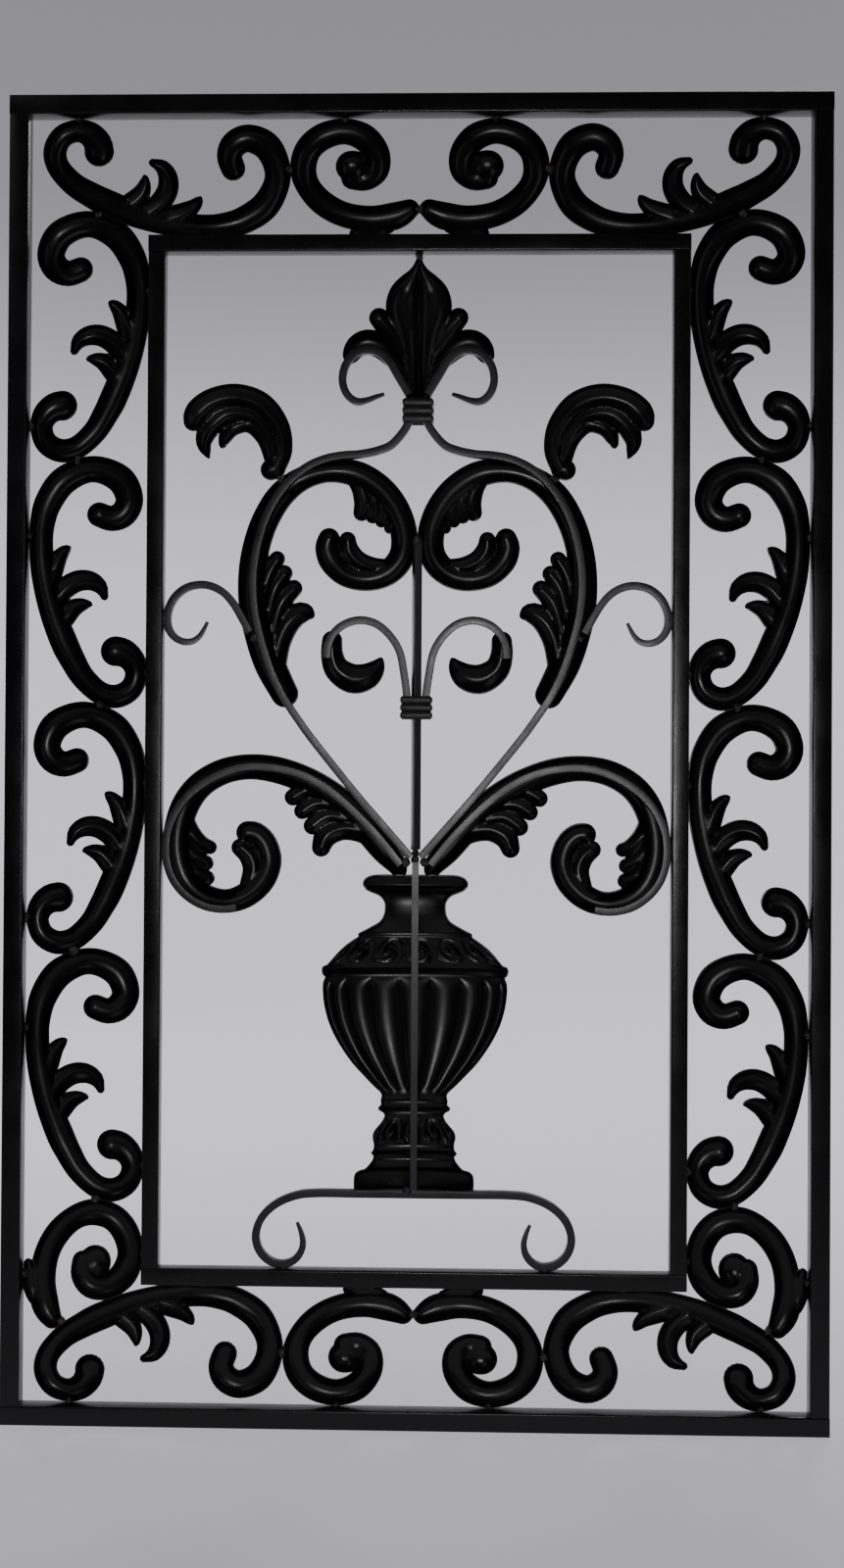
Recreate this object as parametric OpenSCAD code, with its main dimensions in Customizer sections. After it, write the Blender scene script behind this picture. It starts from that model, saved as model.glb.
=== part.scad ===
// Ornamental wrought-iron window guard.
// The side that faces the wall (the rear) looks towards -Y, and the front towards +Y.
// +Z is up. The origin is the middle of the underside of the bottom rail.

/* [Panel] */
// Overall width of the outer frame
panel_w = 680; // [600:1:860]
// Overall height of the outer frame
panel_h = 1100; // [940:1:1340]
// Width of the border between the outer and the inner frame
border_gap = 100; // [84:1:124]

/* [Square bar stock] */
// Side of the square bar of the outer frame
outer_bar = 16; // [13:0.5:20]
// Side of the square bar of the inner frame
inner_bar = 14; // [10:0.5:16]
// Side of the square bar of the scrolls, heart and base
light_bar = 6.5; // [5:0.1:8]
// Bevel along the long edges of the frame bars
edge_bevel = 1; // [0.4:0.1:1.6]
// Turn of the upright centre bar about its own axis, in degrees
centre_bar_turn = 27; // [0:1:45]

/* [Stampings] */
// Depth of the pressed scrolls and leaves, front to back
stamping_depth = 11; // [8:0.5:14]
// Depth of the pressed vase, front to back
vase_depth = 20; // [14:0.5:26]
// Thickness of the pressed steel sheet
sheet = 1.6; // [1:0.1:2.4]
// How far the rims of the stampings stand back from the front face of the frame
rim_setback = 3; // [1:0.5:6]

/* [Border layout] */
// Length of one volute in the border
volute_len = 108; // [90:1:130]
// Free space between a corner scroll and the side of the outer frame
corner_gap = 9; // [4:0.5:14]
// Height of the upper end of the side scrolls above the inner frame
side_top_rise = 20; // [14:1:26]
// Height of the lower end of the side scrolls above the foot of the inner frame
side_low_rise = 68; // [60:1:80]
// How far the ends of two neighbouring side scrolls reach past each other
scroll_nest = 5; // [4:0.5:6]

/* [Collars and base] */
// Gap between the two heart bars inside the upper collar
heart_bar_gap = 8.6; // [6:0.1:12]
// Height of the collar that binds the heart to the finial
top_collar_h = 20; // [14:0.5:26]
// Height of the collar that binds the inner curls to the centre bar
mid_collar_h = 19; // [12:0.5:24]
// Wall of the collars
collar_wall = 1.5; // [1:0.1:2]
// Gap between a collar and the bars that it binds
collar_clearance = 0.2; // [0.1:0.05:0.5]
// Radius of the weld beads
bead_r = 3; // [2:0.25:4]

/* [Hidden] */

black = [0.09, 0.09, 0.10];
black_bar = [0.15, 0.15, 0.16];
weld_brown = [0.22, 0.19, 0.16];

// Depths, from the middle of the outer frame's bars
frame_front_y = outer_bar / 2;
rim_y = frame_front_y - rim_setback;
bar_rear_y = rim_y - light_bar;

// Opening inside the inner frame
inner_half_w = panel_w / 2 - outer_bar - border_gap;
open_half_w = inner_half_w - inner_bar;
inner_z0 = outer_bar + border_gap;
inner_z1 = panel_h - outer_bar - border_gap;
open_z0 = inner_z0 + inner_bar;
open_z1 = inner_z1 - inner_bar;

// The centre ornament is drawn in an opening of this size, its bottom edge at drawn_z0
drawn_half_w = 210;
drawn_h = 840;
drawn_z0 = 130;
grow_x = open_half_w / drawn_half_w;
grow_z = (open_z1 - open_z0) / drawn_h;

// The border stampings are drawn at these sizes
drawn_leaf_len = 207;
drawn_volute_len = 108;
drawn_border = 100;
drawn_bar = 6.5;

// Steps along each stretch between two control points
steps = 3;

// ---------- curves ----------

function xy(p) = [p[0], p[1]];

// One point of a smooth curve through b and c, a and d being their neighbours
function curve_point(a, b, c, d, t) =
    (2 * b + (c - a) * t + (2 * a - 5 * b + 4 * c - d) * t * t
    + (3 * b - a - 3 * c + d) * t * t * t) / 2;

// Smooth curve through control points, each [x, z, half width]
function spine(c, n = steps) = let(last = len(c) - 1) concat(
    [for (i = [0:last - 1]) for (k = [0:n - 1])
        curve_point(c[max(i - 1, 0)], c[i], c[i + 1], c[min(i + 2, last)], k / n)],
    [c[last]]
);

function heading(s, i) = let(v = xy(s[min(i + 1, len(s) - 1)]) - xy(s[max(i - 1, 0)])) v / norm(v);

// Signed curvature of the curve at point i, positive where it turns left
function bend(s, i) = (i == 0 || i == len(s) - 1) ? 0 : let(
    a = xy(s[i]) - xy(s[i - 1]),
    b = xy(s[i + 1]) - xy(s[i])
) 2 * (a[0] * b[1] - a[1] * b[0]) / (norm(a) * norm(b) * norm(a + b));

// Half width that is left when the wall is taken off
function reduced(w, inset) = max(w - inset, 0.4);

// Point on the edge of the stroke: side is 1 for its left edge, -1 for its right.
// On the inside of a tight bend the edge stops short of the centre of the bend.
function edge_point(s, i, side, inset) = let(
    t = heading(s, i),
    k = side * bend(s, i),
    w = reduced(s[i][2], inset),
    reach = k > 0 ? min(w, 0.9 / k) : w
) xy(s[i]) + side * reach * [-t[1], t[0]];

// Round end of a stroke, going from one edge to the other
function cap(s, i, first_side, inset) = let(
    t = heading(s, i),
    w = reduced(s[i][2], inset),
    n = w > 6 ? 9 : 6,
    start = atan2(t[1], t[0]) + first_side * 90
) [for (k = [1:n - 1]) xy(s[i]) + w * [cos(start - 180 * k / n), sin(start - 180 * k / n)]];

// Leaves out points that fall on the one before them
function apart(pts) = [
    for (i = [0:len(pts) - 1]) if (norm(pts[i] - pts[(i + len(pts) - 1) % len(pts)]) > 0.05) pts[i]
];

// Outline of a stroke with round ends
function stroke(c, inset = 0) = let(s = spine(c), last = len(s) - 1) apart(concat(
    [for (i = [0:last]) edge_point(s, i, 1, inset)],
    cap(s, last, 1, inset),
    [for (i = [last:-1:0]) edge_point(s, i, -1, inset)],
    cap(s, 0, -1, inset)
));

// Places points: m is the origin, the drawing's x direction and its z direction
function place(pts, m) = [for (p = pts) m[0] + p[0] * m[1] + p[1] * m[2]];

// The centre ornament is drawn as its right half, x being the distance from the middle.
// side is -1 for the left half and 1 for the right.
function panel_map(side) = [[0, open_z0 - drawn_z0 * grow_z], [side * grow_x, 0], [0, grow_z]];

// Centre line of a bar on the real opening, with the bar's own width. touch is the side,
// [x, z], on which the bar's edge bears on the frame and keeps bearing on it.
function bar_line(side, c, touch = [0, 0]) = let(
    m = panel_map(side),
    moved = place([for (p = c) xy(p) + touch * drawn_bar / 2], m),
    back = [side * touch[0], touch[1]] * light_bar / 2
) [for (i = [0:len(c) - 1]) concat(moved[i] - back, c[i][2] * light_bar / drawn_bar)];

// ---------- shared solids ----------

// Extrudes a drawing in the XZ plane between two depths
module slab(y0, y1) {
    translate([0, y1, 0]) rotate([90, 0, 0]) linear_extrude(y1 - y0) children();
}

module outline(strokes, m, inset) {
    for (c = strokes) polygon(place(stroke(c, inset), m));
}

// A pressed stamping: a pan of sheet steel, open to the rear
module stamping(strokes, m) {
    color(black) difference() {
        slab(rim_y, rim_y + stamping_depth) outline(strokes, m, 0);
        slab(rim_y - 1, rim_y + stamping_depth - sheet) outline(strokes, m, sheet);
    }
}

// A bar of the light stock, bent in the plane of the panel
module bent_bar(line) {
    color(black_bar) slab(bar_rear_y, rim_y) polygon(stroke(line));
}

function bevelled_square(s, e) = [
    [e, 0], [s - e, 0], [s, e], [s, s - e], [s - e, s], [e, s], [0, s - e], [0, e]
];

// A frame bar along X from x0 to x1
module frame_rail(x0, x1, z0, size) {
    color(black_bar) translate([x0, frame_front_y - size, z0]) rotate([90, 0, 90])
        linear_extrude(x1 - x0) polygon(bevelled_square(size, edge_bevel));
}

// A frame bar along Z from z0 to z1
module frame_post(x0, z0, z1, size) {
    color(black_bar) translate([x0, frame_front_y - size, z0])
        linear_extrude(z1 - z0) polygon(bevelled_square(size, edge_bevel));
}

// ---------- frames: the rails run the full width and the posts butt between them ----------

module outer_frame_top() { frame_rail(-panel_w / 2, panel_w / 2, panel_h - outer_bar, outer_bar); }
module outer_frame_bottom() { frame_rail(-panel_w / 2, panel_w / 2, 0, outer_bar); }
module outer_frame_left() { frame_post(-panel_w / 2, outer_bar, panel_h - outer_bar, outer_bar); }
module outer_frame_right() {
    frame_post(panel_w / 2 - outer_bar, outer_bar, panel_h - outer_bar, outer_bar);
}
module inner_frame_top() { frame_rail(-inner_half_w, inner_half_w, open_z1, inner_bar); }
module inner_frame_bottom() { frame_rail(-inner_half_w, inner_half_w, inner_z0, inner_bar); }
module inner_frame_left() { frame_post(-inner_half_w, open_z0, open_z1, inner_bar); }
module inner_frame_right() { frame_post(open_half_w, open_z0, open_z1, inner_bar); }

// ---------- border stampings ----------
// Both are drawn lying along x. The edge that bears on one frame is on z = 0 and the
// edge that bears on the other frame is on z = drawn_border.

leaf_scroll_strokes = [
    // The C-shaped body with a volute at each end
    [[47, 73, 12.4], [45.5, 80.5, 11.8], [38.5, 88, 10.6], [28, 90.6, 9.4], [16, 86, 9.6],
     [9.8, 74, 9.8], [13, 60, 9.6], [25.5, 46, 10], [40, 37, 10.8], [55, 29.5, 11.5],
     [82, 19, 10.8], [112, 12, 10.5], [137, 10, 10], [155, 11.4, 10.7], [170, 16, 11.6],
     [186.5, 27.5, 12], [196, 46, 11], [195.6, 62, 11.2], [187, 77.5, 12], [172, 83.8, 11.6],
     [160.5, 79, 11.4], [156.3, 69, 10.6], [159.5, 58.5, 10.2]],
    // Short spike, curled leaf and pointed leaf on the hollow side
    [[61, 26, 4], [72, 29, 8.4], [82.5, 38, 7.6], [85.6, 47.5, 4.4], [85.4, 51.5, 2.2]],
    [[77, 18, 7], [95, 27, 9], [104, 39, 9], [105, 51, 8.2], [100, 60, 6.2], [92, 63.5, 3.4]],
    [[92, 15, 7.4], [112, 19.5, 9], [124, 25, 7], [130, 30.4, 4.6], [131.6, 33, 2.6]]
];

volute_strokes = [
    // Arm and spiral
    [[99.6, 24, 8.4], [88, 18.5, 11.5], [68, 16, 11], [46, 19.5, 10.5], [28, 29, 10.5],
     [15.5, 43, 10.2], [11, 58, 11], [15, 74, 11.2], [27.5, 85, 11.3], [45, 89.2, 10.8],
     [61.5, 84, 11.4], [72, 71, 10.8], [72, 57, 10.6], [63, 49.5, 9.8], [52, 50, 9.4]],
    // Eye of the spiral
    [[51, 60, 13], [53, 60, 13]],
    // Leaf foot under the arm
    [[54, 4.3, 4.3], [62, 6, 6], [74, 7.2, 7.2], [83, 9, 5]]
];

// Map of a border stamping: its corner, its run along the frame and its way across the border
function border_map(at, run, across, len_now, len_drawn) = [
    at, run * len_now / len_drawn, across * border_gap / drawn_border
];

outer_half_w = panel_w / 2 - outer_bar;
row_leaf_len = outer_half_w - corner_gap - volute_len;
column_top = inner_z1 + side_top_rise;
column_low = inner_z0 + side_low_rise;
column_pitch = (column_top - column_low) / 4;
column_leaf_len = column_pitch + scroll_nest;

function row_leaf_map(side, top) = border_map(
    [side * (outer_half_w - corner_gap), top ? inner_z1 : inner_z0],
    [-side, 0], [0, top ? 1 : -1], row_leaf_len, drawn_leaf_len);

function row_volute_map(side, top) = border_map(
    [side * volute_len, top ? inner_z1 : inner_z0],
    [-side, 0], [0, top ? 1 : -1], volute_len, drawn_volute_len);

// n counts down from the top: odd ones bear on the inner frame, even ones on the outer
function column_leaf_map(side, n) = let(on_inner = n % 2 == 1) border_map(
    [side * (on_inner ? inner_half_w : outer_half_w),
        column_top - n * column_pitch - scroll_nest / 2],
    [0, 1], [on_inner ? side : -side, 0], column_leaf_len, drawn_leaf_len);

function column_volute_map(side) = border_map(
    [side * outer_half_w, column_low], [0, -1], [-side, 0], volute_len, drawn_volute_len);

module leaf_scroll_row(side, top) { stamping(leaf_scroll_strokes, row_leaf_map(side, top)); }
module leaf_scroll_column(side, n) { stamping(leaf_scroll_strokes, column_leaf_map(side, n)); }
module volute_row(side, top) { stamping(volute_strokes, row_volute_map(side, top)); }
module volute_column(side) { stamping(volute_strokes, column_volute_map(side)); }

module leaf_scroll_top_left() { leaf_scroll_row(-1, true); }
module leaf_scroll_top_right() { leaf_scroll_row(1, true); }
module leaf_scroll_bottom_left() { leaf_scroll_row(-1, false); }
module leaf_scroll_bottom_right() { leaf_scroll_row(1, false); }
module leaf_scroll_left_1() { leaf_scroll_column(-1, 1); }
module leaf_scroll_left_2() { leaf_scroll_column(-1, 2); }
module leaf_scroll_left_3() { leaf_scroll_column(-1, 3); }
module leaf_scroll_left_4() { leaf_scroll_column(-1, 4); }
module leaf_scroll_right_1() { leaf_scroll_column(1, 1); }
module leaf_scroll_right_2() { leaf_scroll_column(1, 2); }
module leaf_scroll_right_3() { leaf_scroll_column(1, 3); }
module leaf_scroll_right_4() { leaf_scroll_column(1, 4); }
module volute_top_left() { volute_row(-1, true); }
module volute_top_right() { volute_row(1, true); }
module volute_bottom_left() { volute_row(-1, false); }
module volute_bottom_right() { volute_row(1, false); }
module volute_side_left() { volute_column(-1); }
module volute_side_right() { volute_column(1); }

// ---------- centre stampings, drawn as the right half ----------

heart_leaf_strokes = [
    // Body: from its open foot, round the heart's shoulder and into the ring
    [[109.5, 604.5, 11.5], [122, 629, 13], [130.5, 655, 13.2], [135.5, 680, 13], [136.8, 705, 12],
     [133.6, 728, 11.5], [126, 750, 11.4], [113.5, 770, 11.2], [96, 783.5, 10], [75, 789.6, 9.4],
     [53, 788, 11], [34, 777.5, 11.4], [20, 761.5, 11.4], [12, 742, 11.3], [11.5, 724, 11],
     [18, 711, 11], [30, 702.5, 10.6], [45, 700, 10], [60, 704.3, 10.4], [71, 715, 10.8],
     [75.2, 726, 9.8], [73.5, 733.5, 9]],
    // Inner lobe of the ring
    [[25, 712, 5], [38, 710.5, 8], [50, 715, 9], [57, 724, 8.6], [58, 732.5, 7]],
    // Four leaf tips hanging inside the ring
    [[47, 782, 6], [42.5, 770, 8.4], [44, 759, 8], [46.5, 754, 6]],
    [[38, 775, 6], [33.5, 764, 7], [34.5, 753, 6]],
    [[29, 768, 6], [26, 757, 6.4], [28, 747.5, 6]],
    [[22, 757, 5], [20.5, 748, 6], [22.5, 742, 5.5]],
    // Fan of four leaf tips on the hollow side of the body
    [[131, 702, 6], [124, 713.5, 7], [116.5, 717.5, 6.2]],
    [[131, 686, 7], [121, 700.5, 7], [111, 705, 6.6]],
    [[130, 668, 7], [118, 687, 8], [103.5, 692.5, 7]],
    [[124, 640, 10.6], [118, 659, 10.4], [106.5, 672, 9], [93.5, 673, 6.4], [88.5, 670.5, 3.4]]
];

feather_leaf_strokes = [
    // Curled foot
    [[118.6, 791.2, 8.5], [122, 791, 9]],
    // Three long strands that sweep up and over
    [[118.4, 794, 9], [113.5, 808, 9.2], [117.5, 827, 10.4], [131, 844.5, 11], [151, 852, 10.6],
     [171, 848.6, 10.6], [183.5, 839, 11], [187, 831.5, 8.6]],
    [[121, 800, 7], [125, 820, 9], [138, 835.5, 9.6], [158, 838.5, 10], [172.5, 828, 9.6],
     [178.4, 815, 7], [176.4, 806, 4], [174.4, 801.5, 1.6]],
    [[121, 800, 7], [127, 817, 7.6], [140, 829, 7.6], [154, 826.5, 7.4], [161, 817, 5.6],
     [162.6, 811.4, 3]]
];

crescent_leaf_strokes = [
    [[70.3, 648.5, 8.6], [70.3, 637, 9.4], [66, 625, 10.8], [54, 617.4, 12.4], [42.5, 618.4, 11.4],
     [34.2, 625, 7.6], [30, 632.4, 2.8]]
];

lower_leaf_strokes = [
    // Body: from its foot on the vase, over the arch and round the scroll
    [[15.6, 463.6, 8.6], [26, 475, 11], [38, 490, 12], [54, 507.5, 12], [72, 521.5, 12],
     [92, 533, 11.5], [115, 541, 11.2], [138, 543.6, 10.6], [160, 539.6, 10.8], [179, 528.4, 11.2],
     [191.4, 511.6, 11.8], [197.4, 491, 12], [197.4, 470, 12], [190.6, 450, 12], [177, 436.6, 11],
     [158, 432, 10], [141, 437, 10.6], [127.6, 449.4, 11], [121.6, 465, 10.6], [125, 479.6, 10.4],
     [132.6, 487.8, 10], [139.6, 489, 9.6]],
    // Inner lobe of the scroll
    [[139, 446, 7], [134.6, 459, 9], [138, 470, 9], [145.6, 476.6, 7.6]],
    // Three leaf tips inside the scroll
    [[191, 500, 7], [187, 488, 8.4], [178.6, 479.4, 7.4], [171, 476.6, 6]],
    [[193, 485, 7], [186, 471, 8], [174, 463.4, 6.4]],
    [[190, 468, 7], [183, 456.6, 8], [173, 451, 6.4]],
    // Fan of four leaf tips under the arch
    [[82, 524, 6], [94, 522, 7], [102, 518.6, 7]],
    [[68, 515, 6], [82, 512.6, 7.4], [94.4, 507.4, 6.6]],
    [[58, 505, 6], [73, 502, 8], [86, 495, 7.2]],
    [[45, 492, 8], [60, 491.6, 9.4], [73.6, 486.4, 9.4], [78.4, 477, 7.6]]
];

finial_centre_strokes = [
    // Pointed middle leaf, straight down to the collar
    [[0, 968.4, 1.6], [0, 962, 3.6], [0, 954, 9], [0, 945, 17.6], [0, 936, 25], [0, 927, 27.5],
     [0, 917, 25], [0, 904, 20], [0, 885, 15], [0, 872, 13], [0, 861.2, 12.2]]
];

finial_side_strokes = [
    // Small lobe and large lobe beside the middle leaf
    [[7, 880, 5], [15.6, 895, 7.4], [26, 909, 9], [33, 917.4, 8.4]],
    [[7, 866, 6], [18, 881, 8.4], [31, 893.6, 10.4], [43, 897.4, 10.4], [52, 893, 9.4],
     [56, 886.4, 7.2]]
];

module heart_leaf(side) { stamping(heart_leaf_strokes, panel_map(side)); }
module feather_leaf(side) { stamping(feather_leaf_strokes, panel_map(side)); }
module crescent_leaf(side) { stamping(crescent_leaf_strokes, panel_map(side)); }
module lower_leaf(side) { stamping(lower_leaf_strokes, panel_map(side)); }

module finial_outline(inset) {
    outline(finial_centre_strokes, panel_map(1), inset);
    outline(finial_side_strokes, panel_map(1), inset);
    outline(finial_side_strokes, panel_map(-1), inset);
}

// The finial has a flat tongue below its leaves, which the collar holds against the bars
module finial() {
    color(black) {
        difference() {
            slab(rim_y, rim_y + stamping_depth) finial_outline(0);
            slab(rim_y - 1, rim_y + stamping_depth - sheet) finial_outline(sheet);
        }
        translate([-tongue_w / 2, rim_y, tongue_z0])
            cube([tongue_w, tongue_depth, tongue_z1 - tongue_z0]);
    }
}

module heart_leaf_left() { heart_leaf(-1); }
module heart_leaf_right() { heart_leaf(1); }
module feather_leaf_left() { feather_leaf(-1); }
module feather_leaf_right() { feather_leaf(1); }
module crescent_leaf_left() { crescent_leaf(-1); }
module crescent_leaf_right() { crescent_leaf(1); }
module lower_leaf_left() { lower_leaf(-1); }
module lower_leaf_right() { lower_leaf(1); }

// ---------- collars ----------

// Height on the panel of a height on the drawing of the centre ornament
function panel_z(z) = open_z0 + (z - drawn_z0) * grow_z;

// Drawn heights of the collars and of the junction below the heart
drawn_top_collar_z1 = 849;
drawn_mid_collar_z = 593;
drawn_junction_z = 469;

top_collar_z0 = panel_z(drawn_top_collar_z1) - top_collar_h;
mid_collar_z0 = panel_z(drawn_mid_collar_z) - mid_collar_h / 2;
// How far the beads of a collar stand out of its band
collar_bead = 0.7;
// Tongue of the finial, which the upper collar holds
tongue_depth = 5;
tongue_w = 14;
tongue_z0 = top_collar_z0 + 2;
tongue_z1 = panel_z(863);
// Half of the room that the turned centre bar takes in x and in y
turned_half = light_bar * (cos(centre_bar_turn) + sin(centre_bar_turn)) / 2;
// Distance from the middle to the bars that lie against a collar's side walls
top_bundle_x = (heart_bar_gap + light_bar) / 2;
mid_bundle_x = turned_half + collar_clearance + light_bar / 2;

// Outer width of a collar round two bars at that distance
function collar_width(bundle_x) = 2 * (bundle_x + light_bar / 2 + collar_clearance + collar_wall);

// Square band round a bundle of bars, with three raised beads
module collar(z0, w, h, hole_y0, hole_y1) {
    bead = h / 7;
    color(black) difference() {
        union() {
            collar_band(z0, h, w / 2, hole_y0, hole_y1, 0);
            for (k = [0, 3, 6])
                collar_band(z0 + k * bead, bead, w / 2, hole_y0, hole_y1, collar_bead);
        }
        translate([-w / 2 + collar_wall, hole_y0, z0 - 1])
            cube([w - 2 * collar_wall, hole_y1 - hole_y0, h + 2]);
    }
}

module collar_band(z0, h, half_w, hole_y0, hole_y1, proud) {
    x = half_w + proud;
    y0 = hole_y0 - collar_wall - proud;
    y1 = hole_y1 + collar_wall + proud;
    translate([-x, y0, z0]) cube([2 * x, y1 - y0, h]);
}

module top_collar() {
    collar(top_collar_z0, collar_width(top_bundle_x), top_collar_h,
        bar_rear_y - collar_clearance, rim_y + tongue_depth + collar_clearance);
}

module mid_collar() {
    collar(mid_collar_z0, collar_width(mid_bundle_x), mid_collar_h,
        rim_y - 2 * turned_half - collar_clearance, rim_y + collar_clearance);
}

// ---------- bars, drawn as the right half ----------

heart_bar_line = [
    [20, 812.5, 3.25], [32, 806.4, 3.25], [48, 803, 3.25], [62, 802, 3.25], [76, 799.3, 3.25],
    [90, 793.5, 3.25], [103, 784, 3.25], [113, 772.5, 3.25], [121, 760, 3.25], [128, 744, 3.25],
    [133, 725, 3.25], [135.8, 705, 3.25], [136, 690, 3.25], [134.5, 673, 3.25], [131, 656, 3.25],
    [126.5, 640, 3.25], [120, 621.5, 3.25], [110.5, 602, 3.25], [98, 583, 3.25], [84, 564, 3.25],
    [50, 522, 3.25], [27, 495.5, 3.25], [4, 469.3, 3.25]
];
finial_curl_line = [
    [17, 868, 3.25], [24, 879.6, 3.25], [33, 887.4, 3.25], [42.5, 889.4, 3.25], [52, 886.4, 3.25],
    [60, 877.4, 3.25], [62.8, 866, 3.25], [61, 856.4, 3.25], [56.4, 849.8, 3.1], [50, 846.6, 2.9],
    [42, 848, 2.3], [34.6, 850.8, 1.9], [28, 853, 1.4]
];
side_curl_line = [
    [138.4, 655, 3.25], [144, 665, 3.25], [151, 677, 3.25], [159, 686.6, 3.25], [169, 692.6, 3.25],
    [180, 694.4, 3.25], [192, 691.4, 3.25], [201.6, 683, 3.25], [206.75, 671, 3.25],
    [206.4, 659.4, 3.25], [201, 650.8, 3.1], [193, 647, 2.9], [185, 648, 2.5], [179, 653.4, 2],
    [173.6, 663.6, 1.3]
];
inner_curl_line = [
    [10.5, 622, 3.25], [14, 639, 3.25], [21.6, 652, 3.25], [33, 662, 3.25], [46, 665.4, 3.25],
    [58.6, 662.6, 3.25], [68, 655.4, 3.25], [73.2, 645, 3.25], [74.4, 634, 3.25]
];
lower_bar_line = [
    [12.4, 463.4, 3.25], [30, 485, 3.25], [47, 503, 3.25], [63, 517.6, 3.25], [80, 529.6, 3.25],
    [99, 538.6, 3.25], [120, 543, 3.25], [140, 543.4, 3.25], [158, 539, 3.25], [175, 530.4, 3.25],
    [190, 518, 3.25], [200.4, 503, 3.25], [206, 487, 3.25], [206.4, 468, 3.25],
    [201.4, 451, 3.25], [190.6, 437.4, 3.25], [176, 428.6, 3.25], [161, 425.6, 3.25],
    [148, 427, 3.25]
];
base_bar_line = [
    [0, 192, 3.25], [40, 192, 3.25], [80, 192, 3.25], [98, 189.6, 3.25], [114, 182.4, 3.25],
    [125.4, 171, 3.25], [130, 157, 3.25], [127, 144.6, 3.25], [118.6, 136, 3.25],
    [108, 133.25, 3.25], [98.6, 136.4, 3.1], [92.6, 143.6, 2.9], [91, 152, 2.5],
    [93, 160.6, 1.9], [96, 167.6, 1.3]
];

// The stretch of a bar that a collar holds, straight up between the collar's two ends
function bundled(side, x, z0, z1) = [[side * x, z1, light_bar / 2], [side * x, z0, light_bar / 2]];

module heart_bar(side) {
    bent_bar(concat(
        bundled(side, top_bundle_x, top_collar_z0 + 1, top_collar_z0 + top_collar_h - 1),
        bar_line(side, heart_bar_line)));
}

// Starts on the top of the collar and follows the finial's lower edge
module finial_curl(side) {
    foot_z = top_collar_z0 + top_collar_h + light_bar / 2;
    bent_bar(concat([[side * top_bundle_x, foot_z, light_bar / 2]],
        bar_line(side, finial_curl_line)));
}

module side_curl(side) { bent_bar(bar_line(side, side_curl_line, [1, 0])); }

module inner_curl(side) {
    bent_bar(concat(
        bundled(side, mid_bundle_x, mid_collar_z0 + mid_collar_h + 1, mid_collar_z0 + 1),
        bar_line(side, inner_curl_line)));
}

module lower_bar(side) { bent_bar(bar_line(side, lower_bar_line, [1, 0])); }

module base_bar() {
    right = bar_line(1, base_bar_line, [0, -1]);
    left = bar_line(-1, base_bar_line, [0, -1]);
    bent_bar(concat([for (i = [len(left) - 1:-1:1]) left[i]], right));
}

centre_bar_z0 = panel_z(drawn_junction_z + 7);
centre_bar_z1 = panel_z(731);

// Upright bar from the two rings of the heart down to the junction, turned about its axis
module centre_bar() {
    color(black_bar) translate([0, rim_y - turned_half, centre_bar_z0])
        rotate([0, 0, centre_bar_turn])
        linear_extrude(centre_bar_z1 - centre_bar_z0) square(light_bar, center = true);
}

// Thickness of the strip behind the vase
vase_bar_w = 5.5;
vase_bar_z1 = panel_z(drawn_junction_z - 3.5);
// Upper side of the base bar
base_top_z = panel_z(base_bar_line[0][1] - drawn_bar / 2) + light_bar;

// Flat strip that carries the vase, from the junction down to the base bar
module vase_bar() {
    color(black_bar) translate([-vase_bar_w / 2, bar_rear_y, base_top_z])
        cube([vase_bar_w, light_bar, vase_bar_z1 - base_top_z]);
}

module heart_bar_left() { heart_bar(-1); }
module heart_bar_right() { heart_bar(1); }
module finial_curl_left() { finial_curl(-1); }
module finial_curl_right() { finial_curl(1); }
module side_curl_left() { side_curl(-1); }
module side_curl_right() { side_curl(1); }
module inner_curl_left() { inner_curl(-1); }
module inner_curl_right() { inner_curl(1); }
module lower_bar_left() { lower_bar(-1); }
module lower_bar_right() { lower_bar(1); }

// ---------- vase ----------

// Profile: height and half width, from the plinth up to the lip
vase_profile = [
    [192, 50], [206, 50], [209.6, 47], [210.4, 41], [216, 36.6], [221, 33.6], [224.6, 35.6],
    [228, 34], [232, 33.4], [238, 34.6], [245, 31.6], [252, 26.4], [256, 24.6], [259.6, 29.4],
    [263, 29.4], [267, 27.6], [273, 27], [278, 32], [288, 42], [300, 53], [315, 63.4],
    [330, 71], [345, 75.4], [358, 77], [370, 76.4], [375, 77.4], [380, 74], [388, 66.4],
    [396, 58], [402, 50], [407, 47], [412, 37], [418, 28], [426, 25.6], [434, 27], [439.4, 36],
    [441, 41], [447, 44], [452.4, 41], [455, 33]
];
vase_widest = 77;
vase_segments = 10;
vase_foot_z = panel_z(vase_profile[0][0]);
vase_h = panel_z(vase_profile[len(vase_profile) - 1][0]) - vase_foot_z;

// How far the pressing swells at a given half width
function swell(w) = vase_depth * (0.3 + 0.7 * w / vase_widest);

// Half of a vase, flat at the rear: inset shrinks it by the sheet on every side but the rear
module half_vase(inset, rear_y) {
    last = len(vase_profile) - 1;
    n = vase_segments;
    ring = n + 3;
    points = [for (p = vase_profile) let(
        half_w = p[1] * grow_x - inset,
        half_d = swell(p[1]) - inset,
        z = vase_foot_z + (panel_z(p[0]) - vase_foot_z) * (1 - 2 * inset / vase_h) + inset
    ) each concat(
        [[half_w, rear_y, z]],
        [for (k = [0:n]) [half_w * cos(180 * k / n), rim_y + half_d * sin(180 * k / n), z]],
        [[-half_w, rear_y, z]])];
    faces = concat(
        [for (i = [0:last - 1]) for (k = [0:ring - 1]) [
            i * ring + k,
            (i + 1) * ring + k,
            (i + 1) * ring + (k + 1) % ring,
            i * ring + (k + 1) % ring
        ]],
        [[for (k = [0:ring - 1]) k]],
        [[for (k = [ring - 1:-1:0]) last * ring + k]]
    );
    polyhedron(points, faces, convexity = 4);
}

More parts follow.
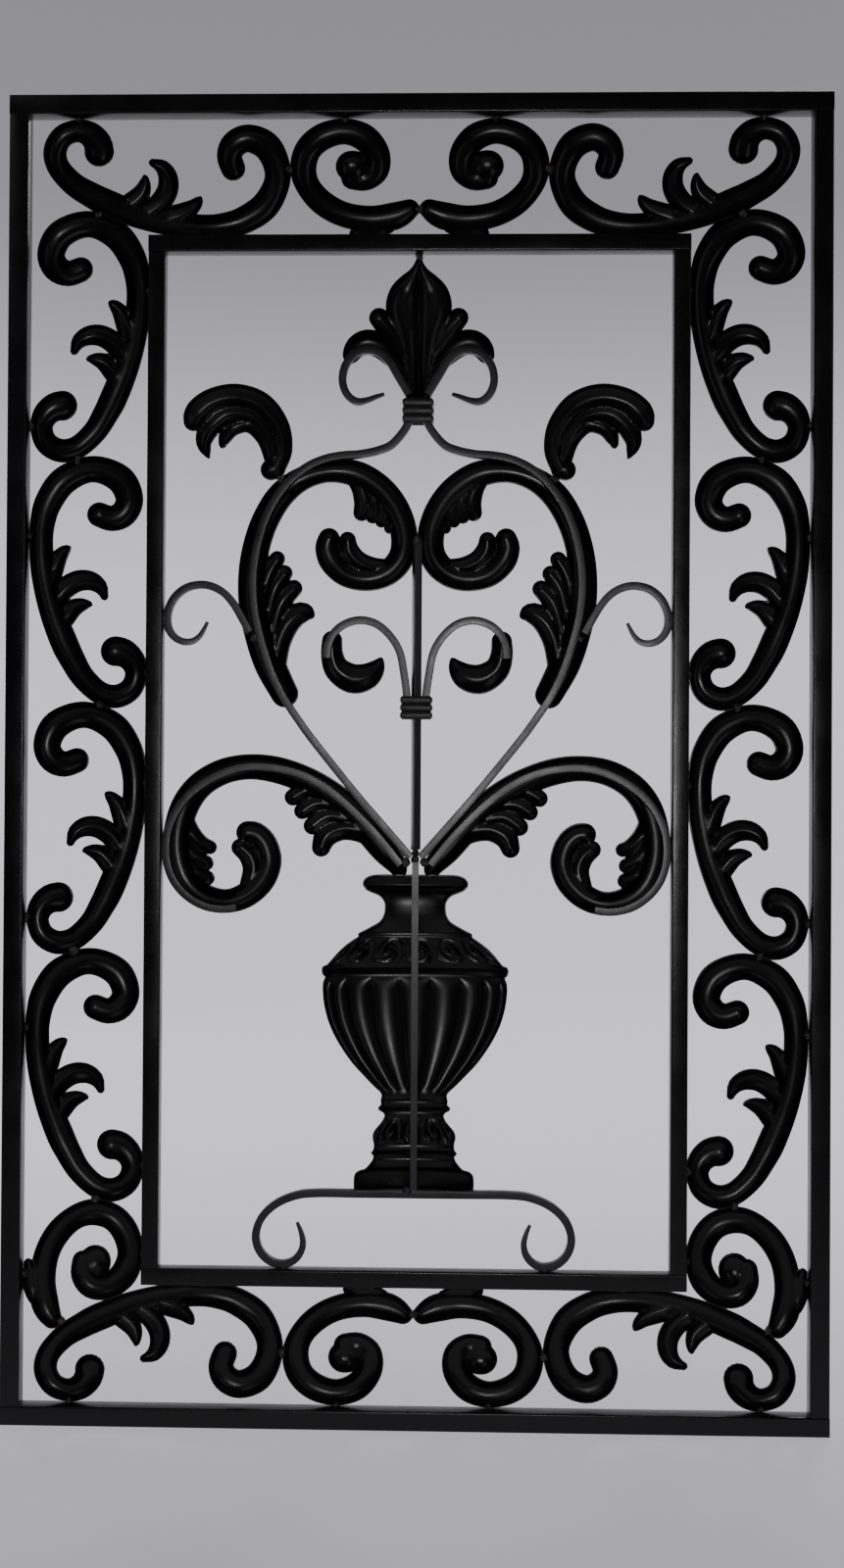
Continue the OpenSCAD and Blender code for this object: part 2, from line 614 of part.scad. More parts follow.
module vase() {
    color(black) difference() {
        half_vase(0, rim_y - 0.001);
        half_vase(sheet, rim_y - 2);
    }
}

// ---------- welds ----------

// Contacts of each border stamping, as [along, across] on its drawing
leaf_scroll_welds = [[142, 0], [30, 100]];
volute_welds = [[62, 0], [45, 100]];

function weld_points(m, contacts, y) = [for (p = place(contacts, m)) [p[0], y, p[1]]];

row_welds = [for (side = [-1, 1]) for (top = [true, false]) each concat(
    weld_points(row_leaf_map(side, top), leaf_scroll_welds, rim_y),
    weld_points(row_volute_map(side, top), concat(volute_welds, [[0, 57]]), rim_y))];
column_welds = [for (side = [-1, 1]) for (n = [1:4]) each
    weld_points(column_leaf_map(side, n), concat(leaf_scroll_welds, [[3, 60]]), rim_y)];
corner_welds = [for (side = [-1, 1]) each concat(
    weld_points(column_leaf_map(side, 1), [[204, 44]], rim_y),
    weld_points(column_volute_map(side), concat(volute_welds, [[101, 32]]), rim_y))];
middle_welds = [for (top = [true, false]) each
    weld_points(row_volute_map(1, top), [[volute_len, 24]], rim_y)];

// Contacts of the centre stampings and of the bars, drawn on the right half
panel_leaf_welds = [[210, 480], [113.2, 782.6]];
panel_bar_welds = [[210, 669], [134, 651], [108, 130]];

centre_welds = [for (side = [-1, 1]) each concat(
    weld_points(panel_map(side), panel_leaf_welds, rim_y),
    weld_points(panel_map(side), panel_bar_welds, rim_y - light_bar / 2))];
axis_welds = [
    [0, rim_y, open_z1 - 1],
    [0, rim_y - 2 * turned_half, centre_bar_z1],
    [-vase_bar_w, bar_rear_y, base_top_z]
];
// The cluster of beads where the heart bars, lower bars, centre bar and strip meet
junction_x = 7.5 * grow_x;
junction_welds = [
    [0, rim_y - light_bar / 2, centre_bar_z0 - 2],
    [0, rim_y - light_bar / 2, vase_bar_z1 + 2.1],
    [-junction_x, bar_rear_y + 1, vase_bar_z1],
    [junction_x, bar_rear_y + 1, vase_bar_z1]
];

module weld_beads() {
    for (list = [row_welds, column_welds, corner_welds, middle_welds,
            centre_welds, axis_welds, junction_welds])
        for (p = list) color(weld_brown) translate(p) sphere(bead_r);
}

outer_frame_top();
outer_frame_bottom();
outer_frame_left();
outer_frame_right();
inner_frame_top();
inner_frame_bottom();
inner_frame_left();
inner_frame_right();
leaf_scroll_top_left();
leaf_scroll_top_right();
leaf_scroll_bottom_left();
leaf_scroll_bottom_right();
leaf_scroll_left_1();
leaf_scroll_left_2();
leaf_scroll_left_3();
leaf_scroll_left_4();
leaf_scroll_right_1();
leaf_scroll_right_2();
leaf_scroll_right_3();
leaf_scroll_right_4();
volute_top_left();
volute_top_right();
volute_bottom_left();
volute_bottom_right();
volute_side_left();
volute_side_right();
finial();
finial_curl_left();
finial_curl_right();
top_collar();
heart_bar_left();
heart_bar_right();
heart_leaf_left();
heart_leaf_right();
feather_leaf_left();
feather_leaf_right();
side_curl_left();
side_curl_right();
inner_curl_left();
inner_curl_right();
crescent_leaf_left();
crescent_leaf_right();
mid_collar();
centre_bar();
lower_bar_left();
lower_bar_right();
lower_leaf_left();
lower_leaf_right();
vase_bar();
vase();
base_bar();
weld_beads();
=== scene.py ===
"""Ornamental window guard in black enamel.

It is welded from square bar, with scrolls, leaves and a vase pressed from steel sheet.
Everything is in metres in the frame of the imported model: X along the width, Z up, and Y from
the wall to the front. The drawings of the pressed pieces are in millimetres.
"""
import math

import bmesh
import bpy
import numpy as np
from mathutils import Matrix, Vector
from mathutils.geometry import delaunay_2d_cdt


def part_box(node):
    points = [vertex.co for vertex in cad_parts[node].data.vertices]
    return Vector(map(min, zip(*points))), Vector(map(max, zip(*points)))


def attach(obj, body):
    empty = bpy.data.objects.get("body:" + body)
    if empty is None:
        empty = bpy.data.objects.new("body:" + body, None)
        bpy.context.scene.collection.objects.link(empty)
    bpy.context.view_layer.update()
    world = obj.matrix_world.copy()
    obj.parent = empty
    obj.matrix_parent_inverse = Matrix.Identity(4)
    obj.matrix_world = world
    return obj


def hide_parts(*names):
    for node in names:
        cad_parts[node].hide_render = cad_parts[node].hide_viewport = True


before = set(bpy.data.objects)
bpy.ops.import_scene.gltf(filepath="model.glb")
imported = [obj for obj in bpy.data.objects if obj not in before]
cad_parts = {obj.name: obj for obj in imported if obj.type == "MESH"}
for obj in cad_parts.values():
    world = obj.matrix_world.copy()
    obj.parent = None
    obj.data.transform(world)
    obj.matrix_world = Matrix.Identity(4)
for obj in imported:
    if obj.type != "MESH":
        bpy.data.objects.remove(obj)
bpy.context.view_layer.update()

MM = 0.001


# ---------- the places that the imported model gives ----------

def low(node):
    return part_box(node)[0]


def high(node):
    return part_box(node)[1]


# Plane of the rims of the pressed pieces, which is also the front of the light bars
RIM_Y = low("heart_leaf_left").y
LIGHT_BAR = high("side_curl_left").y - low("side_curl_left").y
OUTER_BAR = high("outer_frame_top").z - low("outer_frame_top").z
INNER_BAR = high("inner_frame_top").z - low("inner_frame_top").z
OPEN_HALF_W = low("inner_frame_right").x
OPEN_Z0 = high("inner_frame_bottom").z
OPEN_Z1 = low("inner_frame_top").z
PRESSED_DEPTH = high("heart_leaf_left").y - RIM_Y

# The centre pieces are drawn in an opening 210 mm to each side of the middle, 130 to 970 mm up
DRAWN_HALF_W, DRAWN_Z0, DRAWN_Z1 = 210, 130, 970
DRAWN_HALF_BAR = 3.25    # half the side of the light bar in the drawings


def centre_place(side):
    """Matrix that puts a drawn point [x, z, 1] of the centre onto the panel, in metres."""
    grow_z = (OPEN_Z1 - OPEN_Z0) / (DRAWN_Z1 - DRAWN_Z0)
    return np.array([
        [side * OPEN_HALF_W / DRAWN_HALF_W, 0, 0],
        [0, grow_z, OPEN_Z0 - DRAWN_Z0 * grow_z],
    ])


def border_place(node, run, across, length, height):
    """The same for a border piece: it fills the box of its node.

    run and across are (axis, direction): where the drawing's x and z point, 0 being X and 1 Z.
    """
    lo, hi = low(node), high(node)
    corner = [[lo.x, hi.x], [lo.z, hi.z]]
    place = np.zeros((2, 3))
    for column, (axis, direction), size in ((0, run, length), (1, across, height)):
        start, end = corner[axis] if direction > 0 else corner[axis][::-1]
        place[axis, column] = (end - start) / size
        place[axis, 2] = start
    return place


# ---------- drawings of the pressed pieces: strokes of [x, z, half width], in mm ----------

LEAF_SCROLL = [
    # The C-shaped body with a volute at each end
    [[47, 73, 12.4], [45.5, 80.5, 11.8], [38.5, 88, 10.6], [28, 90.6, 9.4], [16, 86, 9.6],
     [9.8, 74, 9.8], [13, 60, 9.6], [25.5, 46, 10], [40, 37, 10.8], [55, 29.5, 11.5],
     [82, 19, 10.8], [112, 12, 10.5], [137, 10, 10], [155, 11.4, 10.7], [170, 16, 11.6],
     [186.5, 27.5, 12], [196, 46, 11], [195.6, 62, 11.2], [187, 77.5, 12], [172, 83.8, 11.6],
     [160.5, 79, 11.4], [156.3, 69, 10.6], [159.5, 58.5, 10.2]],
    # Short spike, curled leaf and pointed leaf on the hollow side
    [[61, 26, 4], [72, 29, 8.4], [82.5, 38, 7.6], [85.6, 47.5, 4.4], [85.4, 51.5, 2.2]],
    [[77, 18, 7], [95, 27, 9], [104, 39, 9], [105, 51, 8.2], [100, 60, 6.2], [92, 63.5, 3.4]],
    [[92, 15, 7.4], [112, 19.5, 9], [124, 25, 7], [130, 30.4, 4.6], [131.6, 33, 2.6]],
]

VOLUTE = [
    # Arm and spiral
    [[99.6, 24, 8.4], [88, 18.5, 11.5], [68, 16, 11], [46, 19.5, 10.5], [28, 29, 10.5],
     [15.5, 43, 10.2], [11, 58, 11], [15, 74, 11.2], [27.5, 85, 11.3], [45, 89.2, 10.8],
     [61.5, 84, 11.4], [72, 71, 10.8], [72, 57, 10.6], [63, 49.5, 9.8], [52, 50, 9.4]],
    # Eye of the spiral
    [[51, 60, 13], [53, 60, 13]],
    # Leaf foot under the arm
    [[54, 4.3, 4.3], [62, 6, 6], [74, 7.2, 7.2], [83, 9, 5]],
]

HEART_LEAF = [
    # Body: from its open foot, round the heart's shoulder and into the ring
    [[109.5, 604.5, 11.5], [122, 629, 13], [130.5, 655, 13.2], [135.5, 680, 13], [136.8, 705, 12],
     [133.6, 728, 11.5], [126, 750, 11.4], [113.5, 770, 11.2], [96, 783.5, 10], [75, 789.6, 9.4],
     [53, 788, 11], [34, 777.5, 11.4], [20, 761.5, 11.4], [12, 742, 11.3], [11.5, 724, 11],
     [18, 711, 11], [30, 702.5, 10.6], [45, 700, 10], [60, 704.3, 10.4], [71, 715, 10.8],
     [75.2, 726, 9.8], [73.5, 733.5, 9]],
    # Inner lobe of the ring
    [[25, 712, 5], [38, 710.5, 8], [50, 715, 9], [57, 724, 8.6], [58, 732.5, 7]],
    # Four leaf tips hanging inside the ring, side by side
    [[56, 785, 5], [47.5, 776, 8], [44, 764, 9], [46.5, 755, 7]],
    [[46, 781, 5], [38, 770, 7.6], [35.6, 760, 7.6], [37.4, 752, 6]],
    [[37, 776, 5], [30, 764, 7], [28.4, 754.6, 6.8], [30, 748, 5.4]],
    [[28, 769, 5], [22.6, 757, 6], [21.4, 748.4, 6], [23, 742.4, 5]],
    # Fan of four pleats: they run up beside the body and curl outward at their tips
    [[130, 655, 5], [128.5, 680, 8], [124, 703, 8.4], [116.6, 716.5, 6.8]],
    [[126, 648, 5], [123.5, 671, 8], [118.6, 692, 8.8], [110.4, 704.6, 7]],
    [[122, 640, 6], [119, 661, 8.4], [112.6, 681, 9.2], [102.6, 692, 7.4]],
    [[117, 628, 9], [114.6, 648, 10.4], [107, 664, 10.6], [95.6, 672.4, 8.6], [89, 670.5, 4.4]],
]

FEATHER_LEAF = [
    # Curled foot
    [[118.6, 791.2, 8.5], [122, 791, 9]],
    # Three long strands that sweep up and over
    [[118.4, 794, 9], [113.5, 808, 9.2], [117.5, 827, 10.4], [131, 844.5, 11], [151, 852, 10.6],
     [171, 848.6, 10.6], [183.5, 839, 11], [187, 831.5, 8.6]],
    [[121, 800, 7], [125, 820, 9], [138, 835.5, 9.6], [158, 838.5, 10], [172.5, 828, 9.6],
     [178.4, 815, 7], [176.4, 806, 4], [174.4, 801.5, 1.6]],
    [[121, 800, 7], [127, 817, 7.6], [140, 829, 7.6], [154, 826.5, 7.4], [161, 817, 5.6],
     [162.6, 811.4, 3]],
]

CRESCENT_LEAF = [
    [[70.3, 648.5, 8.6], [70.3, 637, 9.4], [66, 625, 10.8], [54, 617.4, 12.4], [42.5, 618.4, 11.4],
     [34.2, 625, 7.6], [30, 632.4, 2.8]],
]

LOWER_LEAF = [
    # Body: from its foot on the vase, over the arch and round the scroll
    [[13.6, 459, 6.8], [17, 465, 9], [26, 475, 11], [38, 490, 12], [54, 507.5, 12], [72, 521.5, 12],
     [92, 533, 11.5], [115, 541, 11.2], [138, 543.6, 10.6], [160, 539.6, 10.8], [179, 528.4, 11.2],
     [191.4, 511.6, 11.8], [197.4, 491, 12], [197.4, 470, 12], [190.6, 450, 12], [177, 436.6, 11],
     [158, 432, 10], [141, 437, 10.6], [127.6, 449.4, 11], [121.6, 465, 10.6], [125, 479.6, 10.4],
     [132.6, 487.8, 10], [139.6, 489, 9.6]],
    # Inner lobe of the scroll
    [[139, 446, 7], [134.6, 459, 9], [138, 470, 9], [145.6, 476.6, 7.6]],
    # Three leaf tips inside the scroll
    [[191, 500, 7], [187, 488, 8.4], [178.6, 479.4, 7.4], [171, 476.6, 6]],
    [[193, 485, 7], [186, 471, 8], [174, 463.4, 6.4]],
    [[190, 468, 7], [183, 456.6, 8], [173, 451, 6.4]],
    # Fan of four pleats: they run along under the arch and curl down at their tips
    [[58, 510, 5], [76, 521, 7.6], [92, 523.6, 8], [102, 518.6, 7.2]],
    [[48, 500, 5], [65, 510.4, 8], [82, 513.6, 8.6], [94.2, 507.2, 7]],
    [[39, 489, 6], [56, 500, 8.6], [73, 503, 9.2], [85.6, 495, 7.6]],
    [[31, 480, 7], [45, 490.6, 9.6], [61, 493, 10], [74, 487, 9.8], [78.4, 477, 7.8]],
]

FINIAL_MIDDLE = [
    # Half of the pointed middle leaf, straight down to the collar: the two halves meet in a crease
    [[0, 968.4, 1.6], [1.5, 962, 2.6], [4, 954, 5.2], [8, 945, 9.8], [11.5, 936, 13.6],
     [12.8, 927, 14.8], [11.5, 917, 13.6], [9, 904, 11], [7, 885, 8.2], [6, 872, 7],
     [5.6, 861.2, 6.6], [5, 853, 5.6], [4.6, 844, 4.6]],
]

FINIAL_SIDE = [
    # Small lobe and large lobe beside the middle leaf
    [[7, 880, 5], [15.6, 895, 7.4], [26, 909, 9], [33, 917.4, 8.4]],
    [[7, 866, 6], [18, 881, 8.4], [31, 893.6, 10.4], [43, 897.4, 10.4], [52, 893, 9.4],
     [56, 886.4, 7.2]],
]

# ---------- centre lines of the bent bars: [x, z, half width], in mm, right half ----------

HEART_BAR = [
    [20, 812.5, 3.25], [32, 806.4, 3.25], [48, 803, 3.25], [62, 802, 3.25], [76, 799.3, 3.25],
    [90, 793.5, 3.25], [103, 784, 3.25], [113, 772.5, 3.25], [121, 760, 3.25], [128, 744, 3.25],
    [133, 725, 3.25], [135.8, 705, 3.25], [136, 690, 3.25], [134.5, 673, 3.25], [131, 656, 3.25],
    [126.5, 640, 3.25], [120, 621.5, 3.25], [110.5, 602, 3.25], [98, 583, 3.25], [84, 564, 3.25],
    [50, 522, 3.25], [27, 495.5, 3.25], [4, 469.3, 3.25],
]

FINIAL_CURL = [
    [17, 868, 3.25], [24, 879.6, 3.25], [33, 887.4, 3.25], [42.5, 889.4, 3.25], [52, 886.4, 3.25],
    [60, 877.4, 3.25], [62.8, 866, 3.25], [61, 856.4, 3.25], [56.4, 849.8, 3.1], [50, 846.6, 2.9],
    [42, 848, 2.3], [34.6, 850.8, 1.9], [28, 853, 1.4],
]

SIDE_CURL = [
    [138.4, 655, 3.25], [144, 665, 3.25], [151, 677, 3.25], [159, 686.6, 3.25], [169, 692.6, 3.25],
    [180, 694.4, 3.25], [192, 691.4, 3.25], [201.6, 683, 3.25], [206.75, 671, 3.25],
    [206.4, 659.4, 3.25], [201, 650.8, 3.1], [193, 647, 2.9], [185, 648, 2.5], [179, 653.4, 2],
    [173.6, 663.6, 1.3],
]

INNER_CURL = [
    [10.5, 622, 3.25], [14, 639, 3.25], [21.6, 652, 3.25], [33, 662, 3.25], [46, 665.4, 3.25],
    [58.6, 662.6, 3.25], [68, 655.4, 3.25], [73.2, 645, 3.25], [74.4, 634, 3.25],
]

LOWER_BAR = [
    [12.4, 463.4, 3.25], [30, 485, 3.25], [47, 503, 3.25], [63, 517.6, 3.25], [80, 529.6, 3.25],
    [99, 538.6, 3.25], [120, 543, 3.25], [140, 543.4, 3.25], [158, 539, 3.25], [175, 530.4, 3.25],
    [190, 518, 3.25], [200.4, 503, 3.25], [206, 487, 3.25], [206.4, 468, 3.25],
    [201.4, 451, 3.25], [190.6, 437.4, 3.25], [176, 428.6, 3.25], [161, 425.6, 3.25],
    [148, 427, 3.25],
]

BASE_BAR = [
    [0, 192, 3.25], [40, 192, 3.25], [80, 192, 3.25], [98, 189.6, 3.25], [114, 182.4, 3.25],
    [125.4, 171, 3.25], [130, 157, 3.25], [127, 144.6, 3.25], [118.6, 136, 3.25],
    [108, 133.25, 3.25], [98.6, 136.4, 3.1], [92.6, 143.6, 2.9], [91, 152, 2.5],
    [93, 160.6, 1.9], [96, 167.6, 1.3],
]



# ---------- curves ----------

def smooth_line(points, spacing):
    """Smooth curve through control points, with its own points about spacing apart."""
    pts = np.array(points, float)
    last = len(pts) - 1
    out = []
    for i in range(last):
        a, b, c, d = (pts[k] for k in (max(i - 1, 0), i, i + 1, min(i + 2, last)))
        n = max(1, int(round(np.linalg.norm((c - b)[:2]) / spacing)))
        for t in np.arange(n) / n:
            out.append((2 * b + (c - a) * t + (2 * a - 5 * b + 4 * c - d) * t ** 2
                        + (3 * b - a - 3 * c + d) * t ** 3) / 2)
    out.append(pts[last])
    return np.array(out)


# ---------- relief of a pressed piece ----------

FULL_WIDTH = 12          # a strand this wide at each side is pressed to the full depth
NARROW_POWER = 0.7       # how the depth of a narrower strand falls with its width
GUTTER_POWER = 0.5       # half-round gutter
# A vein runs along each half of a veined strand: its place, half width and depth, as shares
VEIN_AT, VEIN_HALF_WIDTH, VEIN_DEPTH = 0.58, 0.24, 0.17
SECTION = (0.3, 0.58, 0.8, 0.93, 0.985)    # places across half a strand where it has points
SPACING = 2.6            # distance of the points along a strand, in mm
# The rim is looked for between these shares of the half width
RIM_FROM, RIM_TO = 0.5, 1.45
# Points farther apart than this many spacings are not joined by an edge
RIM_REACH, CREASE_REACH = 3, 2.2
LEAST_RISE = 0.04        # a triangle whose middle rises less lies outside the piece
LEAST_SIDE = -1.15       # so does one with a side that passes this far from every strand
SAME_POINT = 0.02        # points nearer than this, in mm, are one


class Stroke:
    """One pressed strand: a gutter of rounded section along a smooth line, veined or plain."""

    def __init__(self, points, veined):
        self.veined = veined
        self.line = smooth_line(points, SPACING)
        self.a = self.line[:-1]
        self.run = self.line[1:, :2] - self.a[:, :2]
        self.run_len2 = np.maximum((self.run ** 2).sum(1), 1e-12)
        step = np.gradient(self.line[:, :2], axis=0)
        step /= np.linalg.norm(step, axis=1)[:, None]
        self.side = np.stack([-step[:, 1], step[:, 0]], 1)

    def rise(self, p):
        """How high the strand stands at the points p, as a share of the full depth."""
        rel = p[:, None, :] - self.a[None, :, :2]
        t = np.clip((rel * self.run).sum(2) / self.run_len2, 0, 1)
        off = rel - t[..., None] * self.run
        w = self.a[:, 2] + t * (self.line[1:, 2] - self.a[:, 2])
        q2 = (off ** 2).sum(2) / w ** 2
        tall = np.minimum(1, w / FULL_WIDTH) ** NARROW_POWER
        if self.veined:
            vein = np.clip(1 - np.abs(np.sqrt(q2) - VEIN_AT) / VEIN_HALF_WIDTH, 0, 1)
            tall = tall * (1 - VEIN_DEPTH * vein)
        return np.where(q2 < 1, tall * np.maximum(1 - q2, 0) ** GUTTER_POWER, -q2).max(1)


def rise_of_all(strokes, p):
    return np.array([s.rise(p) for s in strokes])


def bisect(inside, outside, test):
    """Point between the two where test turns from true to false."""
    for _ in range(18):
        mid = (inside + outside) / 2
        if test(mid[None, :])[0]:
            inside = mid
        else:
            outside = mid
    return inside


def edge_along(stroke, start, ray):
    """Where the rays leave the strand, and whether they do so near its half width."""
    near, far = np.full(len(start), RIM_FROM), np.full(len(start), RIM_TO)
    leaves = stroke.rise(start + RIM_TO * ray) <= 0
    for _ in range(16):
        middle = (near + far) / 2
        inside = stroke.rise(start + middle[:, None] * ray) > 0
        near, far = np.where(inside, middle, near), np.where(inside, far, middle)
    return start + far[:, None] * ray, leaves


def relief(drawing, plain=1):
    """Points [x, z, rise] and triangles of a pressed piece, from its strokes.

    The first strokes, as many as plain says, are smooth and the others have veins.
    The rim follows the joined outline of all strokes, and where two strands meet, the mesh
    has an edge along the crease between them.
    """
    strokes = [Stroke(points, k >= plain) for k, points in enumerate(drawing)]
    points, edges = [], []

    def add(p):
        points.append(p)
        return len(points) - 1

    for me, stroke in enumerate(strokes):
        others = strokes[:me] + strokes[me + 1:]

        def free(p):
            """Not covered by another strand"""
            return np.full(len(p), True) if not others else rise_of_all(others, p).max(0) < 0

        def mine(p):
            """This strand stands higher than the others here"""
            own = stroke.rise(p)
            return own > 0 if not others else (own > rise_of_all(others, p).max(0)) & (own > 0)

        # Rim: along the left side, round the end, back along the right side, round the start
        line, side = stroke.line, stroke.side
        width = line[:, 2:3]
        starts, rays = [line[:, :2], line[::-1, :2]], [side * width, -side[::-1] * width[::-1]]
        for slot, end, turned in ((1, -1, 0), (3, 0, math.pi)):
            n = max(5, int(line[end, 2] * math.pi / SPACING))
            first = math.atan2(side[end][1], side[end][0]) + turned
            turn = first - math.pi * np.arange(1, n) / n
            starts.insert(slot, np.repeat(line[end:end + 1 or None, :2], n - 1, 0))
            rays.insert(slot, line[end, 2] * np.stack([np.cos(turn), np.sin(turn)], 1))
        rim, found = edge_along(stroke, np.concatenate(starts), np.concatenate(rays))
        clear = free(rim)
        number = {i: add(rim[i]) for i in np.nonzero(found & clear)[0]}
        count = len(rim)
        for i in range(count):
            j = (i + 1) % count
            apart = np.linalg.norm(rim[i] - rim[j])
            if not (found[i] and found[j]) or apart > RIM_REACH * SPACING:
                continue
            if clear[i] and clear[j]:
                edges.append((number[i], number[j]))
            elif clear[i] != clear[j]:
                kept, lost = (i, j) if clear[i] else (j, i)
                edges.append((number[kept], add(bisect(rim[kept], rim[lost], free))))

        # Inside: rows of points across the strand, and the creases with its neighbours
        for way in (1, -1):
            crease = None
            for i in range(len(line)):
                row = [line[i, :2] + way * side[i] * line[i, 2] * q for q in (0,) + SECTION]
                good = mine(np.array(row))
                steps = zip(row if way > 0 else row[1:], good if way > 0 else good[1:])
                for p, ok in steps:
                    if ok:
                        add(p)
                now = None
                for k in range(len(row) - 1):
                    if good[k] and not good[k + 1] and stroke.rise(row[k + 1][None])[0] > 0:
                        now = add(bisect(row[k], row[k + 1], mine))
                        break
                if now is not None and crease is not None:
                    if np.linalg.norm(points[now] - points[crease]) < CREASE_REACH * SPACING:
                        edges.append((crease, now))
                crease = now
        # Rings of points in the rounded ends
        for end in (0, -1):
            w = line[end, 2]
            n = max(3, int(w * math.pi / SPACING / 1.5))
            start = math.atan2(*side[end][::-1])
            first = start + math.pi if end == 0 else start
            for q in SECTION:
                ring = np.array([
                    line[end, :2] + w * q * np.array([math.cos(first - math.pi * (k + 0.5) / n),
                                                      math.sin(first - math.pi * (k + 0.5) / n)])
                    for k in range(n)])
                for p, ok in zip(ring, mine(ring)):
                    if ok:
                        add(p)

    flat = [Vector(p) for p in points]
    verts, _, faces, *_ = delaunay_2d_cdt(flat, edges, [], 0, SAME_POINT)
    verts = np.array([v[:] for v in verts])
    tris = np.array([f for f in faces if len(f) == 3])
    corners = verts[tris]
    tris = tris[rise_of_all(strokes, corners.mean(1)).max(0) > LEAST_RISE]
    corners = verts[tris]
    halfway = (corners + np.roll(corners, 1, axis=1)) / 2
    outside = rise_of_all(strokes, halfway.reshape(-1, 2)).max(0).reshape(-1, 3)
    tris = tris[outside.min(1) > LEAST_SIDE]
    height = np.maximum(rise_of_all(strokes, verts).max(0), 0)
    used = np.unique(tris)
    new = np.full(len(verts), -1)
    new[used] = np.arange(len(used))
    tris = new[tris]
    verts, height = verts[used], height[used]
    # Every point on the open edge of the sheet is on the rim plane
    pairs = np.sort(np.concatenate([tris[:, [0, 1]], tris[:, [1, 2]], tris[:, [2, 0]]]), axis=1)
    pair, times = np.unique(pairs, axis=0, return_counts=True)
    height[np.unique(pair[times == 1])] = 0
    return np.column_stack([verts, height]), tris


# ---------- making objects ----------

SHEET = 1.2 * MM         # steel sheet of the pressed pieces
MERGE = 1e-6             # points nearer than this, in metres, are one


def new_piece(name, mesh):
    """An object with this mesh, in the scene."""
    piece = bpy.data.objects.new(name, mesh)
    bpy.context.scene.collection.objects.link(piece)
    return piece


def add_mesh(name, verts, faces, material, replaces=(), smooth_angle=38):
    """A finished piece from points and faces."""
    mesh = bpy.data.meshes.new(name)
    mesh.from_pydata([tuple(v) for v in verts], [], [tuple(int(i) for i in f) for f in faces])
    bm = bmesh.new()
    bm.from_mesh(mesh)
    bmesh.ops.remove_doubles(bm, verts=bm.verts, dist=MERGE)
    bmesh.ops.dissolve_degenerate(bm, edges=bm.edges, dist=MERGE)
    bm.to_mesh(mesh)
    bm.free()
    return finish_piece(new_piece(name, mesh), material, replaces, smooth_angle)


def finish_piece(piece, material, replaces=(), smooth_angle=38):
    """Gives a piece its finish and shading, and puts it on the one body."""
    mesh = piece.data
    mesh.materials.clear()
    mesh.materials.append(material)
    mesh.shade_smooth()
    mesh.set_sharp_from_angle(angle=math.radians(smooth_angle))
    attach(piece, "root")
    if replaces:
        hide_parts(*replaces)
    return piece


def applied(piece):
    """Turns a piece with modifiers into a plain mesh."""
    view = bpy.context.evaluated_depsgraph_get()
    mesh = bpy.data.meshes.new_from_object(piece.evaluated_get(view), depsgraph=view)
    piece.modifiers.clear()
    piece.data = mesh
    return piece


def given_wall(piece):
    """Gives an open sheet its thickness, behind the drawn face."""
    wall = piece.modifiers.new("sheet", "SOLIDIFY")
    wall.thickness = SHEET
    wall.offset = -1
    return applied(piece)


def pressed_piece(node, drawn, place, material):
    """A pressed piece on the panel, with its sheet's thickness."""
    points, tris = drawn
    across = np.column_stack([points[:, :2], np.ones(len(points))]) @ place.T
    depth = RIM_Y + points[:, 2] * PRESSED_DEPTH
    verts = np.column_stack([across[:, 0], depth, across[:, 1]])
    a, b, c = (verts[tris[:, k]] for k in range(3))
    if np.cross(b - a, c - a)[:, 1].sum() < 0:
        tris = tris[:, ::-1]
    mesh = bpy.data.meshes.new(node + ".pressed")
    mesh.from_pydata(verts.tolist(), [], tris.tolist())
    piece = given_wall(new_piece(node + ".pressed", mesh))
    return finish_piece(piece, material, (node,), 44)


# ---------- node trees: small helpers ----------

def add_node(tree, kind, settings=(), **inputs):
    """A node with its settings and inputs. An input is a value or another node's output."""
    node = tree.nodes.new(kind)
    for key, value in dict(settings).items():
        setattr(node, key, value)
    for key, value in inputs.items():
        socket = node.inputs[int(key[1:])] if key[0] == "i" and key[1:].isdigit() else \
            node.inputs[key.replace("_", " ")]
        if isinstance(value, bpy.types.NodeSocket):
            tree.links.new(value, socket)
        else:
            socket.default_value = value
    return node


def geometry_tree(name, inputs):
    """An empty geometry tree with named inputs: {name: (socket type, default)}."""
    tree = bpy.data.node_groups.new(name, "GeometryNodeTree")
    tree.interface.new_socket("Geometry", in_out="INPUT", socket_type="NodeSocketGeometry")
    for label, (kind, value) in inputs.items():
        socket = tree.interface.new_socket(label, in_out="INPUT", socket_type=kind)
        if value is not None:
            socket.default_value = value
    tree.interface.new_socket("Geometry", in_out="OUTPUT", socket_type="NodeSocketGeometry")
    return tree, tree.nodes.new("NodeGroupInput"), tree.nodes.new("NodeGroupOutput")


def grown(name, mesh, tree, values, material, replaces=(), smooth_angle=38):
    """Runs a geometry tree on a mesh and keeps the result as a plain mesh."""
    piece = new_piece(name, mesh)
    nodes = piece.modifiers.new("nodes", "NODES")
    nodes.node_group = tree
    by_name = {s.name: s.identifier for s in tree.interface.items_tree
               if s.item_type == "SOCKET" and s.in_out == "INPUT"}
    for label, value in {**values, "Material": material}.items():
        nodes[by_name[label]] = value
    applied(piece)
    return finish_piece(piece, material, replaces, smooth_angle)


